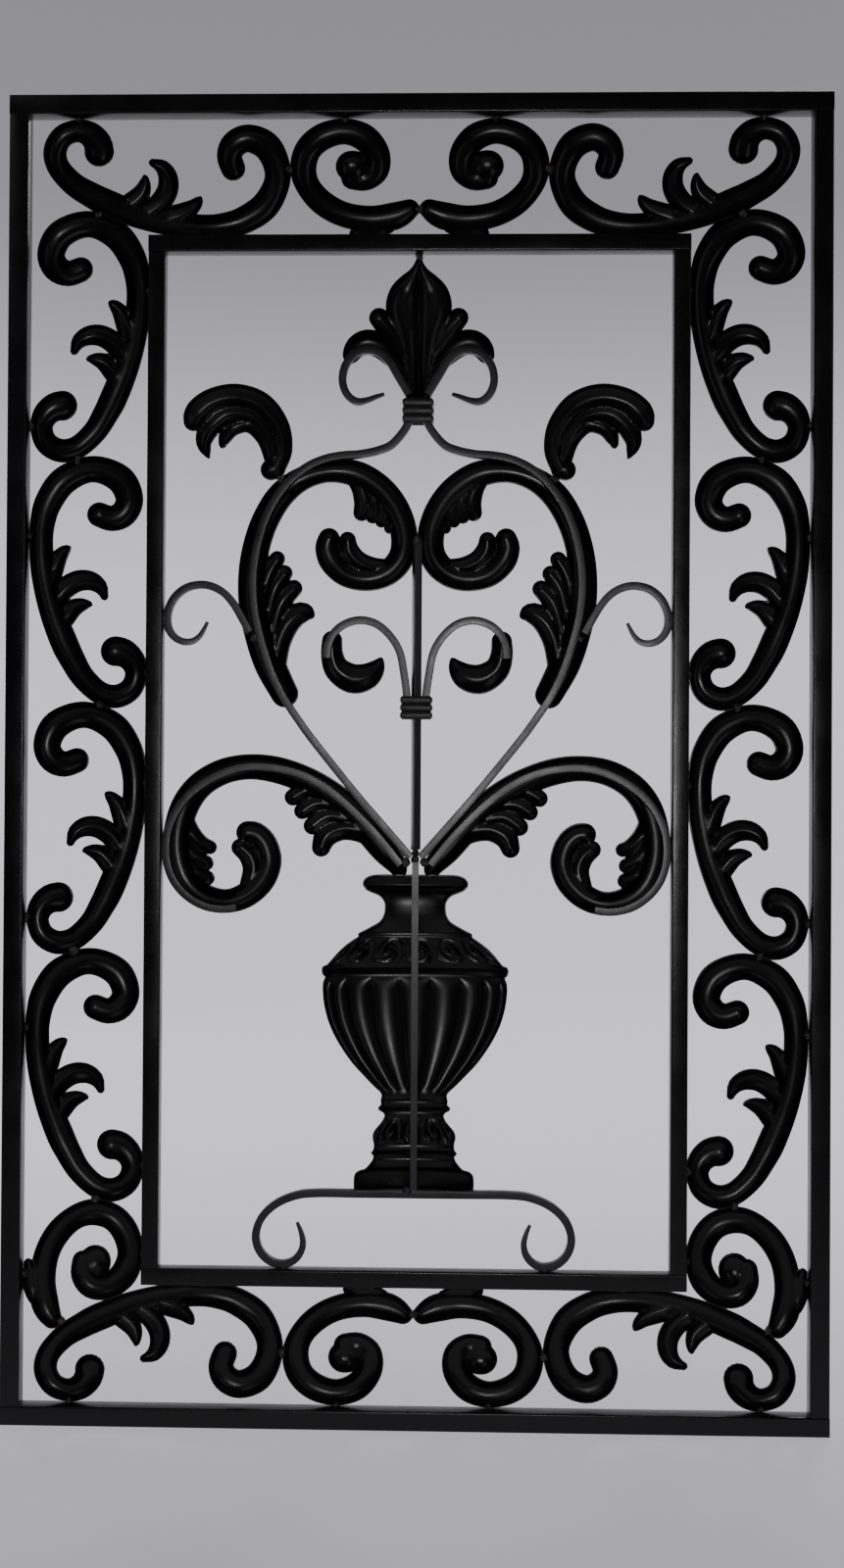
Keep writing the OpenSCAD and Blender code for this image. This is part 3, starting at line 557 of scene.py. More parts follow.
def square_bar_tree():
    """A square bar with rolled, rounded edges that follows a line and thins where the line says.

    The line is a chain of points with a float attribute "share", the share of full size there.
    """
    tree, given, result = geometry_tree("square_bar", {
        "Side": ("NodeSocketFloat", 0.0065),
        "Edge Radius": ("NodeSocketFloat", 0.0006),
        "Facing": ("NodeSocketVector", (0, 1, 0)),
        "Material": ("NodeSocketMaterial", None),
    })
    line = add_node(tree, "GeometryNodeMeshToCurve", Mesh=given.outputs["Geometry"])
    faced = add_node(tree, "GeometryNodeSetCurveNormal", {"mode": "FREE"},
                     Curve=line.outputs[0], Normal=given.outputs["Facing"])
    section = add_node(tree, "GeometryNodeCurvePrimitiveQuadrilateral",
                       Width=given.outputs["Side"], Height=given.outputs["Side"])
    rounded = add_node(tree, "GeometryNodeFilletCurve", {"mode": "POLY"},
                       Curve=section.outputs[0], Count=4, Radius=given.outputs["Edge Radius"])
    share = add_node(tree, "GeometryNodeInputNamedAttribute", {"data_type": "FLOAT"}, Name="share")
    bar = add_node(tree, "GeometryNodeCurveToMesh", Curve=faced.outputs[0],
                   Profile_Curve=rounded.outputs[0], Scale=share.outputs[0], Fill_Caps=True)
    real = add_node(tree, "GeometryNodeRealizeInstances", Geometry=bar.outputs[0])
    final = add_node(tree, "GeometryNodeSetMaterial", Geometry=real.outputs[0],
                     Material=given.outputs["Material"])
    tree.links.new(final.outputs[0], result.inputs[0])
    return tree


def line_mesh(name, points, shares):
    """A chain of points with the share of the bar's size at each."""
    mesh = bpy.data.meshes.new(name)
    mesh.from_pydata([tuple(p) for p in points], [(i, i + 1) for i in range(len(points) - 1)], [])
    attribute = mesh.attributes.new("share", "FLOAT", "POINT")
    attribute.data.foreach_set("value", np.array(shares, np.float32))
    return mesh


BAR_TREE = square_bar_tree()
FRAME_EDGE, LIGHT_EDGE = 1.5 * MM, 0.55 * MM    # rounding of the edges of rolled bar
STRAIGHT_STEPS = 12                             # pieces in the line of a straight bar
BEND_SPACING = 2.2                              # the same for a bent bar, in mm


def straight_bar(node, side, edge, material, turn=0.0):
    """A frame bar or an upright, as long as its node's box, along the box's longest side."""
    lo, hi = low(node), high(node)
    middle = (lo + hi) / 2
    axis = max(range(3), key=lambda k: hi[k] - lo[k])
    points = []
    for i in range(STRAIGHT_STEPS + 1):
        p = middle.copy()
        p[axis] = lo[axis] + (hi[axis] - lo[axis]) * i / STRAIGHT_STEPS
        points.append(p)
    facing = Matrix.Rotation(turn, 3, "Z") @ Vector((0, 1, 0))
    return grown(node + ".bar", line_mesh(node, points, [1] * len(points)), BAR_TREE,
                 {"Side": side, "Edge Radius": edge, "Facing": tuple(facing)},
                 material, (node,))


def drawn_bar(drawing, side, touch=(0, 0), start=()):
    """Centre line of a light bar: [x, z, share] in mm.

    touch is the side that bears on the frame, and start has points in metres that come first.
    """
    place = centre_place(side)
    drawn = np.array(drawing, float)
    bearing = drawn[:, :2] + np.array(touch) * DRAWN_HALF_BAR
    moved = np.column_stack([bearing, np.ones(len(drawn))]) @ place.T
    moved -= np.array([side * touch[0], touch[1]]) * LIGHT_BAR / 2
    return [[x / MM, z / MM, 1] for x, z in start] + [
        [p[0] / MM, p[1] / MM, w / DRAWN_HALF_BAR] for p, w in zip(moved, drawn[:, 2])]


def bent_bar(node, line, material):
    """A bar of the light stock along a line of [x, z, share], in mm."""
    smooth = smooth_line(line, BEND_SPACING)
    y = RIM_Y - LIGHT_BAR / 2
    points = [(x * MM, y, z * MM) for x, z, _ in smooth]
    return grown(node + ".bar", line_mesh(node, points, smooth[:, 2]), BAR_TREE,
                 {"Side": LIGHT_BAR, "Edge Radius": LIGHT_EDGE, "Facing": (0, 1, 0)},
                 material, (node,))


# ---------- collars, weld beads ----------

def rounded_rectangle(half_x, half_y, radius, count=5):
    """Points round a rectangle with rounded corners."""
    out = []
    for cx, cy, start in ((1, 1, 0), (-1, 1, 90), (-1, -1, 180), (1, -1, 270)):
        for k in range(count + 1):
            turn = math.radians(start + 90 * k / count)
            out.append((cx * (half_x - radius) + radius * math.cos(turn),
                        cy * (half_y - radius) + radius * math.sin(turn)))
    return out


COLLAR_BEADS, BEAD_STEPS = 3, 10      # beads on a collar, and rings of points in each
BEAD_FULLNESS = 0.55                  # lower is a fuller bead with a narrower groove
GROOVE, COLLAR_WALL = 1.7 * MM, 2.0 * MM
OUTER_CORNER, INNER_CORNER, LEAST_CORNER = 2.2 * MM, 1 * MM, 0.4 * MM


def collar(node, material):
    """A wrapped collar: three rounded beads round the bars, with a narrow groove between them."""
    lo, hi = low(node), high(node)
    middle, half = (lo + hi) / 2, (hi - lo) / 2
    height = hi.z - lo.z
    rings = []
    for b in range(COLLAR_BEADS):
        for k in range(BEAD_STEPS + 1):
            t = k / BEAD_STEPS
            swell = math.sin(math.pi * t) ** BEAD_FULLNESS
            rings.append((lo.z + height * (b + t) / COLLAR_BEADS, (1 - swell) * GROOVE,
                          OUTER_CORNER))
    rings += [(hi.z, COLLAR_WALL, INNER_CORNER), (lo.z, COLLAR_WALL, INNER_CORNER)]
    verts, faces = [], []
    for z, inset, radius in rings:
        outline = rounded_rectangle(half.x - inset, half.y - inset,
                                    max(radius - inset * 0.5, LEAST_CORNER))
        verts += [(middle.x + x, middle.y + y, z) for x, y in outline]
    n = len(outline)
    count = len(rings)
    for r in range(count):
        for k in range(n):
            s, m = (r + 1) % count, (k + 1) % n
            faces.append((r * n + k, r * n + m, s * n + m, s * n + k))
    return add_mesh(node + ".banded", verts, faces, material, (node,), 50)


def bead_centres(node):
    """Middles of the separate beads of the welds' node."""
    bm = bmesh.new()
    bm.from_mesh(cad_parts[node].data)
    bmesh.ops.remove_doubles(bm, verts=bm.verts, dist=MERGE)
    bm.verts.index_update()
    seen, centres = set(), []
    for vert in bm.verts:
        if vert.index in seen:
            continue
        seen.add(vert.index)
        front, bead = [vert], []
        while front:
            at = front.pop()
            bead.append(at.co[:])
            for edge in at.link_edges:
                other = edge.other_vert(at)
                if other.index not in seen:
                    seen.add(other.index)
                    front.append(other)
        bead = np.array(bead)
        centres.append((bead.min(0) + bead.max(0)) / 2)
    bm.free()
    return centres


SPATTER_PER_METRE, SPATTER_GAIN = 330.0, 4.0
BEAD_SIZES = (0.95, 0.85, 0.9), (1.45, 1.2, 1.4)    # least and most scale of a bead on each axis
BEAD_TURN = 6.28                                    # most turn about each axis, in radians


def weld_tree():
    """Weld beads: lumps of noisy shape, each turned and sized at random, on the given points."""
    tree, given, result = geometry_tree("weld_beads", {
        "Radius": ("NodeSocketFloat", 0.003),
        "Roughness": ("NodeSocketFloat", 0.0009),
        "Seed": ("NodeSocketInt", 4),
        "Material": ("NodeSocketMaterial", None),
    })
    ball = add_node(tree, "GeometryNodeMeshIcoSphere", Radius=given.outputs["Radius"],
                    Subdivisions=4)
    turn = add_node(tree, "FunctionNodeRandomValue", {"data_type": "FLOAT_VECTOR"},
                    i0=(0, 0, 0), i1=(BEAD_TURN,) * 3, Seed=given.outputs["Seed"])
    size = add_node(tree, "FunctionNodeRandomValue", {"data_type": "FLOAT_VECTOR"},
                    i0=BEAD_SIZES[0], i1=BEAD_SIZES[1], Seed=given.outputs["Seed"])
    lumps = add_node(tree, "GeometryNodeInstanceOnPoints", Points=given.outputs["Geometry"],
                     Instance=ball.outputs[0], Rotation=turn.outputs[0], Scale=size.outputs[0])
    real = add_node(tree, "GeometryNodeRealizeInstances", Geometry=lumps.outputs[0])
    # Spatter: noise from -0.5 to 0.5 pushes the skin in and out along its normal
    noise = add_node(tree, "ShaderNodeTexNoise", {"noise_dimensions": "3D"},
                     Scale=SPATTER_PER_METRE, Detail=2.0)
    centred = add_node(tree, "ShaderNodeMath", {"operation": "SUBTRACT"},
                       i0=noise.outputs[0], i1=0.5)
    share = add_node(tree, "ShaderNodeMath", {"operation": "MULTIPLY"},
                     i0=centred.outputs[0], i1=given.outputs["Roughness"])
    amount = add_node(tree, "ShaderNodeMath", {"operation": "MULTIPLY"},
                      i0=share.outputs[0], i1=SPATTER_GAIN)
    normal = add_node(tree, "GeometryNodeInputNormal")
    push = add_node(tree, "ShaderNodeVectorMath", {"operation": "SCALE"}, i0=normal.outputs[0],
                    Scale=amount.outputs[0])
    rough = add_node(tree, "GeometryNodeSetPosition", Geometry=real.outputs[0],
                     Offset=push.outputs[0])
    final = add_node(tree, "GeometryNodeSetMaterial", Geometry=rough.outputs[0],
                     Material=given.outputs["Material"])
    tree.links.new(final.outputs[0], result.inputs[0])
    return tree


# ---------- vase ----------

# Height and half width of the vase, in mm
VASE_PROFILE = [
    (192, 49.6), (196, 50), (203, 50), (207.4, 49), (210, 45.6), (211.4, 41), (216, 36.6),
    (219.6, 34.2), (222, 33.8), (224.4, 35.8), (227, 34.2), (231, 33.4), (238, 34.6), (243, 33),
    (248, 29), (252, 26.2), (256, 24.7), (258.4, 26.6), (260, 29.6), (262.4, 30), (264.6, 27.8),
    (268, 28), (272, 27.2), (275, 28.6), (279, 33), (288, 42), (300, 53), (315, 63.4),
    (330, 71), (345, 75.4), (358, 77), (366, 76.6), (369.6, 75), (371.4, 77), (375, 78),
    (378.6, 77), (380, 73.6), (384, 70), (390, 64.6), (396, 58.4), (401, 51.6), (403.6, 47.6),
    (406, 47.6), (408, 44), (411, 38.4), (416, 30), (421, 26.6), (426, 25.6), (432, 26),
    (437, 30), (440, 37), (442.4, 41.6), (447, 44), (451.4, 42.4), (454, 38), (455, 33),
]
VASE_Z0, VASE_Z1 = VASE_PROFILE[0][0], VASE_PROFILE[-1][0]
VASE_HALF_W = 78         # half width at the ring, the widest place
VASE_SPACING, VASE_STEPS = 1.7, 216    # points up the profile in mm, and steps across the vase
VASE_ROUNDNESS = 0.86    # below 1 makes the half round a little fuller at its sides
RING_ALLOWANCE = 1.5 * MM              # how far the rings may stand out of the plain bowl

# Flutes: number, depth, and how sharp the crease between two is (lower is sharper)
FLUTES, FLUTE_DEPTH, FLUTE_CREASE = 9, 3.8 * MM, 0.55
FLUTED = (272, 368, 9)                 # from, to and soft ends, in mm
FLUTED_HALF_W, FLUTE_TAPER = 77, 0.7   # the flutes get shallower where the bowl narrows
# Bands of leaf swirls: from, to, middle, height of the relief, swirls round and where they start
SWIRL_BANDS = ((380, 402, 391, 1.7, 2.1, 0.0), (232, 253, 242, 1.9, 1.6, 0.6))
SWIRL_HALF, SWIRL_SOFT = 12, 3         # half height of a band and its soft ends
# Rings pressed round the vase: height, half height and how far each stands out, in mm
RINGS = ((219.5, 1.6, 1.0), (224.4, 2.2, 1.6), (231, 1.6, 1.0), (261, 2.6, 1.9), (268, 1.6, 1.0),
         (375, 3.4, 2.0), (404.8, 2.4, 1.7), (446, 4.0, 1.6))


def between(z, start, end, soft):
    """1 between two heights and 0 outside them, with soft ends"""
    return min(max((z - start) / soft, 0), 1) * min(max((end - z) / soft, 0), 1)


def pressing(turn, z, w):
    """How far the vase's sheet stands out of its plain shape, in metres."""
    lobe = abs(math.sin(turn * FLUTES)) ** FLUTE_CREASE
    out = between(z, *FLUTED) * FLUTE_DEPTH * (w / FLUTED_HALF_W) ** FLUTE_TAPER * (lobe - 1)
    for start, end, middle, height, rate, offset in SWIRL_BANDS:
        out += between(z, start, end, SWIRL_SOFT) * height * MM * swirl(
            turn * rate + offset, (z - middle) / SWIRL_HALF)
    for middle, half, height in RINGS:
        if abs(z - middle) < half:
            out += height * MM * math.cos((z - middle) / half * math.pi / 2) ** 2
    return out


def vase(node, material):
    """Half a vase pressed from sheet: flutes on the bowl, leaf swirls on shoulder and stem."""
    lo, hi = low(node), high(node)
    depth = hi.y - RIM_Y - RING_ALLOWANCE
    grow_z = (hi.z - lo.z) / (VASE_Z1 - VASE_Z0)
    grow_x = (hi.x - lo.x) / 2 / VASE_HALF_W
    profile = smooth_line([(z, w, 0) for z, w in VASE_PROFILE], VASE_SPACING)
    rows = []
    for z, w, _ in profile:
        half_w, half_d = w * grow_x, depth * w / VASE_HALF_W
        row = []
        for k in range(VASE_STEPS + 1):
            turn = math.pi * k / VASE_STEPS
            c, s = math.cos(turn), math.sin(turn)
            # The pressing dies away where the sheet turns in to the rim
            out = pressing(turn, z, w) * (1 - abs(2 * k / VASE_STEPS - 1) ** 6)
            lean = math.hypot(c * half_d, s * half_w)
            row.append((c * half_w + out * c * half_d / lean,
                        RIM_Y + half_d * s ** VASE_ROUNDNESS + out * s * half_w / lean,
                        lo.z + (z - VASE_Z0) * grow_z))
        rows.append(row)
    # The top and the foot turn down to the rim plane
    rows.insert(0, [(x * 0.985, RIM_Y, z) for x, _, z in rows[0]])
    rows.append([(x * 0.985, RIM_Y, z) for x, _, z in rows[-1]])
    verts = [p for row in rows for p in row]
    n = VASE_STEPS + 1
    faces = [(i * n + k, (i + 1) * n + k, (i + 1) * n + k + 1, i * n + k + 1)
             for i in range(len(rows) - 1) for k in range(VASE_STEPS)]
    mesh = bpy.data.meshes.new(node)
    mesh.from_pydata(verts, [], faces)
    bm = bmesh.new()
    bm.from_mesh(mesh)
    bmesh.ops.remove_doubles(bm, verts=bm.verts, dist=2e-5)
    if sum(f.normal.y * f.calc_area() for f in bm.faces) < 0:
        bmesh.ops.reverse_faces(bm, faces=bm.faces)
    bm.to_mesh(mesh)
    bm.free()
    piece = given_wall(new_piece(node + ".pressed", mesh))
    return finish_piece(piece, material, (node,), 42)


def swirl(turn, v):
    """Height of a row of curled leaves, from -1 to 1: v runs from -1 to 1 across the row."""
    u = (turn * 2.2) % 2 - 1
    r = math.hypot(u, v * 0.9)
    curl = math.sin(7.5 * r - math.atan2(v, u) + 1.2)
    return curl * min(1, 1.6 * max(0, 1.15 - r)) + 0.25 * math.cos(math.pi * v)


# ---------- finishes ----------

def linear(code):
    """sRGB hex to linear colour."""
    parts = [int(code[k:k + 2], 16) / 255 for k in (1, 3, 5)]
    return tuple(c / 12.92 if c <= 0.04045 else ((c + 0.055) / 1.055) ** 2.4 for c in parts) + (1,)


# Sizes of the patterns in the paint: brush patches, dust grains, rust spots and long ripples
PATCH, GRAIN, RUST_SPOT, RIPPLE = 45 * MM, 4 * MM, 6 * MM, 14 * MM
PEEL_HEIGHT = 0.35 * MM


def enamel(name, colour, worn, roughness, peel_mm, peel, rust=0.0, dust=0.12, gloss=0.5):
    """Black brushed-on enamel over steel: glossy where it is thick, dull where it is dusty.

    peel_mm is the spacing of the orange peel of the paint, in mm, and peel its height. rust is
    how much of the surface shows rust through the paint, dust how pale its upper faces are,
    and gloss how strongly the paint mirrors.
    """
    material = bpy.data.materials.new(name)
    material.use_nodes = True
    tree = material.node_tree
    tree.nodes.clear()
    where = add_node(tree, "ShaderNodeTexCoord").outputs["Object"]
    patches = add_node(tree, "ShaderNodeTexNoise", Vector=where, Scale=1 / PATCH, Detail=4.0,
                       Roughness=0.6)
    coat = add_node(tree, "ShaderNodeValToRGB", Fac=patches.outputs[0])
    coat.color_ramp.elements[0].position, coat.color_ramp.elements[0].color = 0.32, linear(colour)
    coat.color_ramp.elements[1].position, coat.color_ramp.elements[1].color = 0.75, linear(worn)
    # Dust lies on faces that look up
    normal = add_node(tree, "ShaderNodeNewGeometry").outputs["Normal"]
    up = add_node(tree, "ShaderNodeSeparateXYZ", Vector=normal).outputs[2]
    grains = add_node(tree, "ShaderNodeTexNoise", Vector=where, Scale=1 / GRAIN, Detail=6.0,
                      Roughness=0.7)
    settled = add_node(tree, "ShaderNodeMapRange", {"interpolation_type": "SMOOTHSTEP"}, i0=up,
                       i1=0.2, i2=1.0, i3=0.0, i4=dust)
    speckled = add_node(tree, "ShaderNodeMath", {"operation": "MULTIPLY"},
                        i0=settled.outputs[0], i1=grains.outputs[0])
    dusty = add_node(tree, "ShaderNodeMix", {"data_type": "RGBA"}, i0=speckled.outputs[0],
                     i6=coat.outputs[0], i7=linear("#8d8a85"))
    # Rust comes through in small spots
    spots = add_node(tree, "ShaderNodeTexNoise", Vector=where, Scale=1 / RUST_SPOT, Detail=5.0,
                     Roughness=0.65)
    rusty = add_node(tree, "ShaderNodeMapRange", i0=spots.outputs[0], i1=0.66 - 0.4 * rust,
                     i2=0.74 - 0.3 * rust, i3=0.0, i4=min(1.0, rust * 2))
    painted = add_node(tree, "ShaderNodeMix", {"data_type": "RGBA"}, i0=rusty.outputs[0],
                       i6=dusty.outputs[2], i7=linear("#4b3023"))
    # Roughness follows the brush patches and goes dull over rust
    sheen = add_node(tree, "ShaderNodeMapRange", i0=patches.outputs[0], i1=0.3, i2=0.75,
                     i3=roughness - 0.05, i4=roughness + 0.12)
    dull = add_node(tree, "ShaderNodeMath", {"operation": "MULTIPLY_ADD", "use_clamp": True},
                    i0=rusty.outputs[0], i1=0.35, i2=sheen.outputs[0])
    # Fine orange peel, and longer sags where the paint ran
    fine_peel = add_node(tree, "ShaderNodeTexNoise", Vector=where, Scale=1 / (peel_mm * MM),
                         Detail=3.0, Roughness=0.55)
    sag = add_node(tree, "ShaderNodeTexNoise", Vector=where, Scale=1 / RIPPLE, Detail=2.0)
    both = add_node(tree, "ShaderNodeMath", {"operation": "MULTIPLY_ADD"}, i0=sag.outputs[0],
                    i1=1.6, i2=fine_peel.outputs[0])
    skin = add_node(tree, "ShaderNodeBump", Height=both.outputs[0], Strength=peel,
                    Distance=PEEL_HEIGHT)
    shader = add_node(tree, "ShaderNodeBsdfPrincipled", Base_Color=painted.outputs[2],
                      Roughness=dull.outputs[0], Normal=skin.outputs[0])
    shader.inputs["IOR"].default_value = 1.5
    shader.inputs["Metallic"].default_value = 0.0
    shader.inputs["Specular IOR Level"].default_value = gloss
    add_node(tree, "ShaderNodeOutputMaterial", Surface=shader.outputs[0])
    return material


# Enamel on pressed sheet: a deep, smooth black with soft glossy lines along each gutter
pressed_enamel = enamel("black_enamel_on_pressed_steel", "#030304", "#060607",
                        roughness=0.29, peel_mm=1.6, peel=0.08, dust=0.03, gloss=0.26)
# Enamel brushed on rolled bar: a black painted greyer than the rest, a painted sheen for the light
# that its flat faces catch
bar_enamel_painted_sheen = enamel("black_enamel_on_rolled_bar_with_painted_sheen", "#0e0e11", "#18181b",
                    roughness=0.33, peel_mm=1.1, peel=0.3, rust=0.02)
# Enamel on the frame bars: thick and near black, with long soft ripples
frame_enamel = enamel("black_enamel_on_frame_bar", "#030304", "#070708",
                      roughness=0.25, peel_mm=1.4, peel=0.22, dust=0.05, gloss=0.3)
# Enamel on the cast collars: the sand-cast grain shows through as a dull roughness
collar_enamel = enamel("black_enamel_on_cast_iron", "#09090a", "#121213",
                       roughness=0.38, peel_mm=0.8, peel=0.7)
# Welds: thin paint over spatter, brownish where rust comes through
weld_enamel = enamel("thin_enamel_on_weld", "#100e0d", "#1d1815",
                     roughness=0.42, peel_mm=0.7, peel=0.8, rust=0.32)


# ---------- the panel ----------

# Border: where each drawing's x and z point, as (axis, direction) with 0 for X and 1 for Z
RIGHT, LEFT, UP, DOWN = (0, 1), (0, -1), (1, 1), (1, -1)

scroll = relief(LEAF_SCROLL)
volute = relief(VOLUTE, len(VOLUTE))


def border_piece(node, drawn, run, across):
    """Fits a border drawing to the box of its node."""
    x, z = drawn[0][:, 0], drawn[0][:, 1]
    x0, x1, z0, z1 = x.min(), x.max(), z.min(), z.max()
    place = border_place(node, run, across, x1 - x0, z1 - z0)
    place[:, 2] -= place[:, 0] * x0 + place[:, 1] * z0
    pressed_piece(node, drawn, place, pressed_enamel)


for side, inward in (("left", RIGHT), ("right", LEFT)):
    for end, outward in (("top", UP), ("bottom", DOWN)):
        border_piece(f"leaf_scroll_{end}_{side}", scroll, inward, outward)
        border_piece(f"volute_{end}_{side}", volute, inward, outward)
    for n in range(1, 5):
        facing_out = LEFT if side == "left" else RIGHT
        border_piece(f"leaf_scroll_{side}_{n}", scroll, UP, facing_out if n % 2 else inward)
    border_piece(f"volute_side_{side}", volute, DOWN, inward)

# Leaves of the centre: the first strokes, as many as the number says, are plain
for drawing, plain, node in ((HEART_LEAF, 1, "heart_leaf"), (FEATHER_LEAF, 1, "feather_leaf"),
                             (CRESCENT_LEAF, 0, "crescent_leaf"), (LOWER_LEAF, 1, "lower_leaf")):
    drawn = relief(drawing, plain)
    for name, side in (("left", -1), ("right", 1)):
        pressed_piece(f"{node}_{name}", drawn, centre_place(side), pressed_enamel)

finial_half = FINIAL_MIDDLE + FINIAL_SIDE
mirrored = [[[-x, z, w] for x, z, w in stroke] for stroke in finial_half]
finial = relief(finial_half + mirrored, 2 * len(finial_half))
pressed_piece("finial", finial, centre_place(1), pressed_enamel)

vase("vase", pressed_enamel)
collar("top_collar", collar_enamel)
collar("mid_collar", collar_enamel)

# Frames
for frame_name, size in (("outer", OUTER_BAR), ("inner", INNER_BAR)):
    for part in ("top", "bottom", "left", "right"):
        straight_bar(f"{frame_name}_frame_{part}", size, FRAME_EDGE, frame_enamel)

# Upright bars: the upper one is a square bar turned about its own axis
UPPER_TURN = math.radians(27)
straight_bar("centre_bar", LIGHT_BAR, LIGHT_EDGE, bar_enamel_painted_sheen, UPPER_TURN)

# Bent bars
COLLAR_SIDE = (0.7 + 1.5 + 0.2) * MM     # bead, wall and clearance of a collar, beside its bars
IN_COLLAR = 1 * MM                       # how far inside a collar's ends its bars stop
top_x = high("top_collar").x - COLLAR_SIDE - LIGHT_BAR / 2
top_z0, top_z1 = low("top_collar").z, high("top_collar").z
mid_x = high("mid_collar").x - COLLAR_SIDE - LIGHT_BAR / 2
mid_z0, mid_z1 = low("mid_collar").z, high("mid_collar").z
for name, side in (("left", -1), ("right", 1)):
    bent_bar(f"heart_bar_{name}", drawn_bar(HEART_BAR, side, start=[
        (side * top_x, top_z1 - IN_COLLAR), (side * top_x, top_z0 + IN_COLLAR)]), bar_enamel_painted_sheen)
    bent_bar(f"finial_curl_{name}", drawn_bar(FINIAL_CURL, side, start=[
        (side * top_x, top_z1 + LIGHT_BAR / 2)]), bar_enamel_painted_sheen)
    bent_bar(f"side_curl_{name}", drawn_bar(SIDE_CURL, side, (1, 0)), bar_enamel_painted_sheen)
    bent_bar(f"inner_curl_{name}", drawn_bar(INNER_CURL, side, start=[
        (side * mid_x, mid_z0 + IN_COLLAR), (side * mid_x, mid_z1 - IN_COLLAR)]), bar_enamel_painted_sheen)
    bent_bar(f"lower_bar_{name}", drawn_bar(LOWER_BAR, side, (1, 0)), bar_enamel_painted_sheen)
base_right = drawn_bar(BASE_BAR, 1, (0, -1))
bent_bar("base_bar", [[-x, z, w] for x, z, w in base_right[:0:-1]] + base_right, bar_enamel_painted_sheen)

# The flat strip behind the vase stays as the model has it
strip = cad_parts["vase_bar"]
strip.data.materials.clear()
strip.data.materials.append(bar_enamel_painted_sheen)

# Weld beads
beads = bpy.data.meshes.new("welds")
beads.from_pydata([tuple(p) for p in bead_centres("weld_beads")], [], [])
grown("weld_beads.lumps", beads, weld_tree(), {"Radius": 0.003, "Roughness": 0.0012, "Seed": 4},
      weld_enamel, ("weld_beads",), 60)


# ---------- camera, floor and light ----------

def backdrop_paint_with_painted_glow(name, colour):
    """Studio paint with a painted glow: it gives off soft light behind the panel, though it is no
    lamp.

    The glow fades towards the camera and upwards, a painted fall-off of light.
    """
    material = bpy.data.materials.new(name)
    material.use_nodes = True
    tree = material.node_tree
    shader = tree.nodes["Principled BSDF"]
    shader.inputs["Base Color"].default_value = linear(colour)
    shader.inputs["Roughness"].default_value = 0.85
    # The paint gives off light of its own: a painted glow, though it is no lamp
    shader.inputs["Emission Color"].default_value = linear("#f4f3fb")
    where = add_node(tree, "ShaderNodeSeparateXYZ",
                     Vector=add_node(tree, "ShaderNodeTexCoord").outputs["Object"])
    # Painted fall-off of the glow: strong behind the panel, faint on the camera side, dimmer
    # upwards
    behind = add_node(tree, "ShaderNodeMapRange", {"interpolation_type": "SMOOTHSTEP"},
                      i0=where.outputs[1], i1=-1.6, i2=1.2, i3=0.03, i4=0.86)
    above = add_node(tree, "ShaderNodeMapRange", {"interpolation_type": "SMOOTHSTEP"},
                     i0=where.outputs[2], i1=0.9, i2=2.9, i3=1.0, i4=0.3)
    glow = add_node(tree, "ShaderNodeMath", {"operation": "MULTIPLY"},
                    i0=behind.outputs[0], i1=above.outputs[0])
    tree.links.new(glow.outputs[0], shader.inputs["Emission Strength"])
    return material


CAMERA_PLACE = (0.0402, -1.3931, 0.5167)
CAMERA_TURN = (-0.554, 0.330, -1.442)    # from looking straight along Y: axis times degrees
LENS_MM, SENSOR_MM = 38.76, 36

camera_data = bpy.data.cameras.new("camera")
camera_data.lens = LENS_MM
camera_data.sensor_width = SENSOR_MM
camera = bpy.data.objects.new("camera", camera_data)
bpy.context.scene.collection.objects.link(camera)
look = Vector(CAMERA_TURN)
seen = Matrix.Rotation(math.radians(look.length), 3, look.normalized())
axes = Matrix((seen[0], seen[2], -seen[1])).transposed()
camera.matrix_world = Matrix.Translation(CAMERA_PLACE) @ axes.to_4x4()
camera_data.clip_end = 60
bpy.context.scene.camera = camera


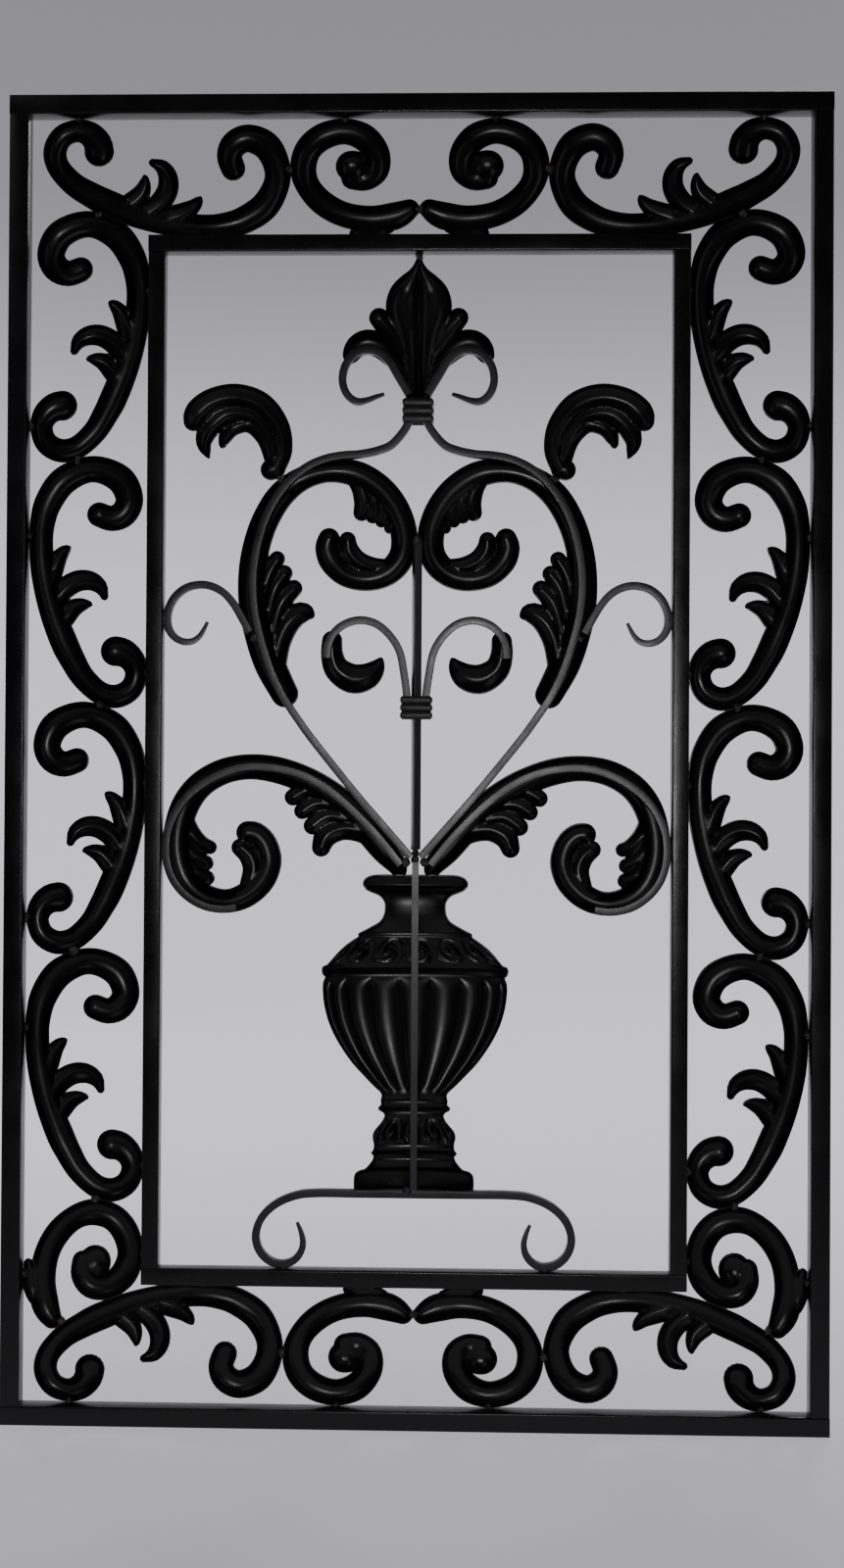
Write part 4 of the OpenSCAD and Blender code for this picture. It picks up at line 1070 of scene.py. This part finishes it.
def cove(radius, bend, height, material):
    """A round studio cove: a floor, a curve and a wall all round the panel."""
    floor_rings, bend_rings, wall_rings, around = 12, 10, 6, 72
    profile = [(radius * k / floor_rings, 0) for k in range(floor_rings)]
    profile += [(radius - bend + bend * math.sin(a), bend - bend * math.cos(a))
                for a in (math.radians(90 * k / bend_rings) for k in range(1, bend_rings + 1))]
    profile += [(radius, bend + (height - bend) * k / wall_rings)
                for k in range(1, wall_rings + 1)]
    # Rings of the floor that would lie under the curve are left out
    profile = [p for p in profile if p[0] <= radius - bend or p[1] > 0]
    verts = [(r * math.cos(2 * math.pi * k / around), r * math.sin(2 * math.pi * k / around), z)
             for r, z in profile for k in range(around)]
    faces = [(i * around + k, i * around + (k + 1) % around,
              (i + 1) * around + (k + 1) % around, (i + 1) * around + k)
             for i in range(len(profile) - 1) for k in range(around)]
    mesh = bpy.data.meshes.new("cove")
    mesh.from_pydata(verts, [], faces)
    mesh.shade_smooth()
    mesh.materials.append(material)
    new_piece("cove", mesh)


# Pale matt paint with a painted glow of its own, so that the black bars stand out sharply
cove(5.0, 1.6, 7.0, backdrop_paint_with_painted_glow("pale_backdrop_paint_with_painted_glow", "#7f7e82"))

world = bpy.data.worlds.new("studio")
world.use_nodes = True
world.node_tree.nodes["Background"].inputs["Color"].default_value = linear("#9a9aa0")
world.node_tree.nodes["Background"].inputs["Strength"].default_value = 0.12
bpy.context.scene.world = world


def softbox(name, place, aim, size, watts):
    """A rectangular lamp that faces a point and is hidden from the camera."""
    data = bpy.data.lights.new(name, "AREA")
    data.shape = "RECTANGLE"
    data.size, data.size_y = size
    data.energy = watts
    lamp = bpy.data.objects.new(name, data)
    lamp.visible_camera = False
    lamp.location = place
    lamp.rotation_euler = (Vector(aim) - Vector(place)).to_track_quat("-Z", "Y").to_euler()
    bpy.context.scene.collection.objects.link(lamp)


# A flash beside the camera gives the soft bands, and the last two light the front
softbox("flash", (0.05, -1.42, 0.57), (0, 0, 0.55), (0.12, 0.12), 6.0)
softbox("key", (-1.5, -2.0, 2.7), (0, 0, 0.6), (0.5, 1.6), 5)
softbox("fill", (1.9, -1.6, 1.6), (0, 0, 0.5), (0.35, 1.8), 2.5)
softbox("front", (1.2, 2.2, 2.6), (0, 0, 0.5), (0.8, 1.4), 30)
softbox("front_low", (-1.6, 2.0, 0.9), (0, 0, 0.5), (0.4, 1.4), 12)
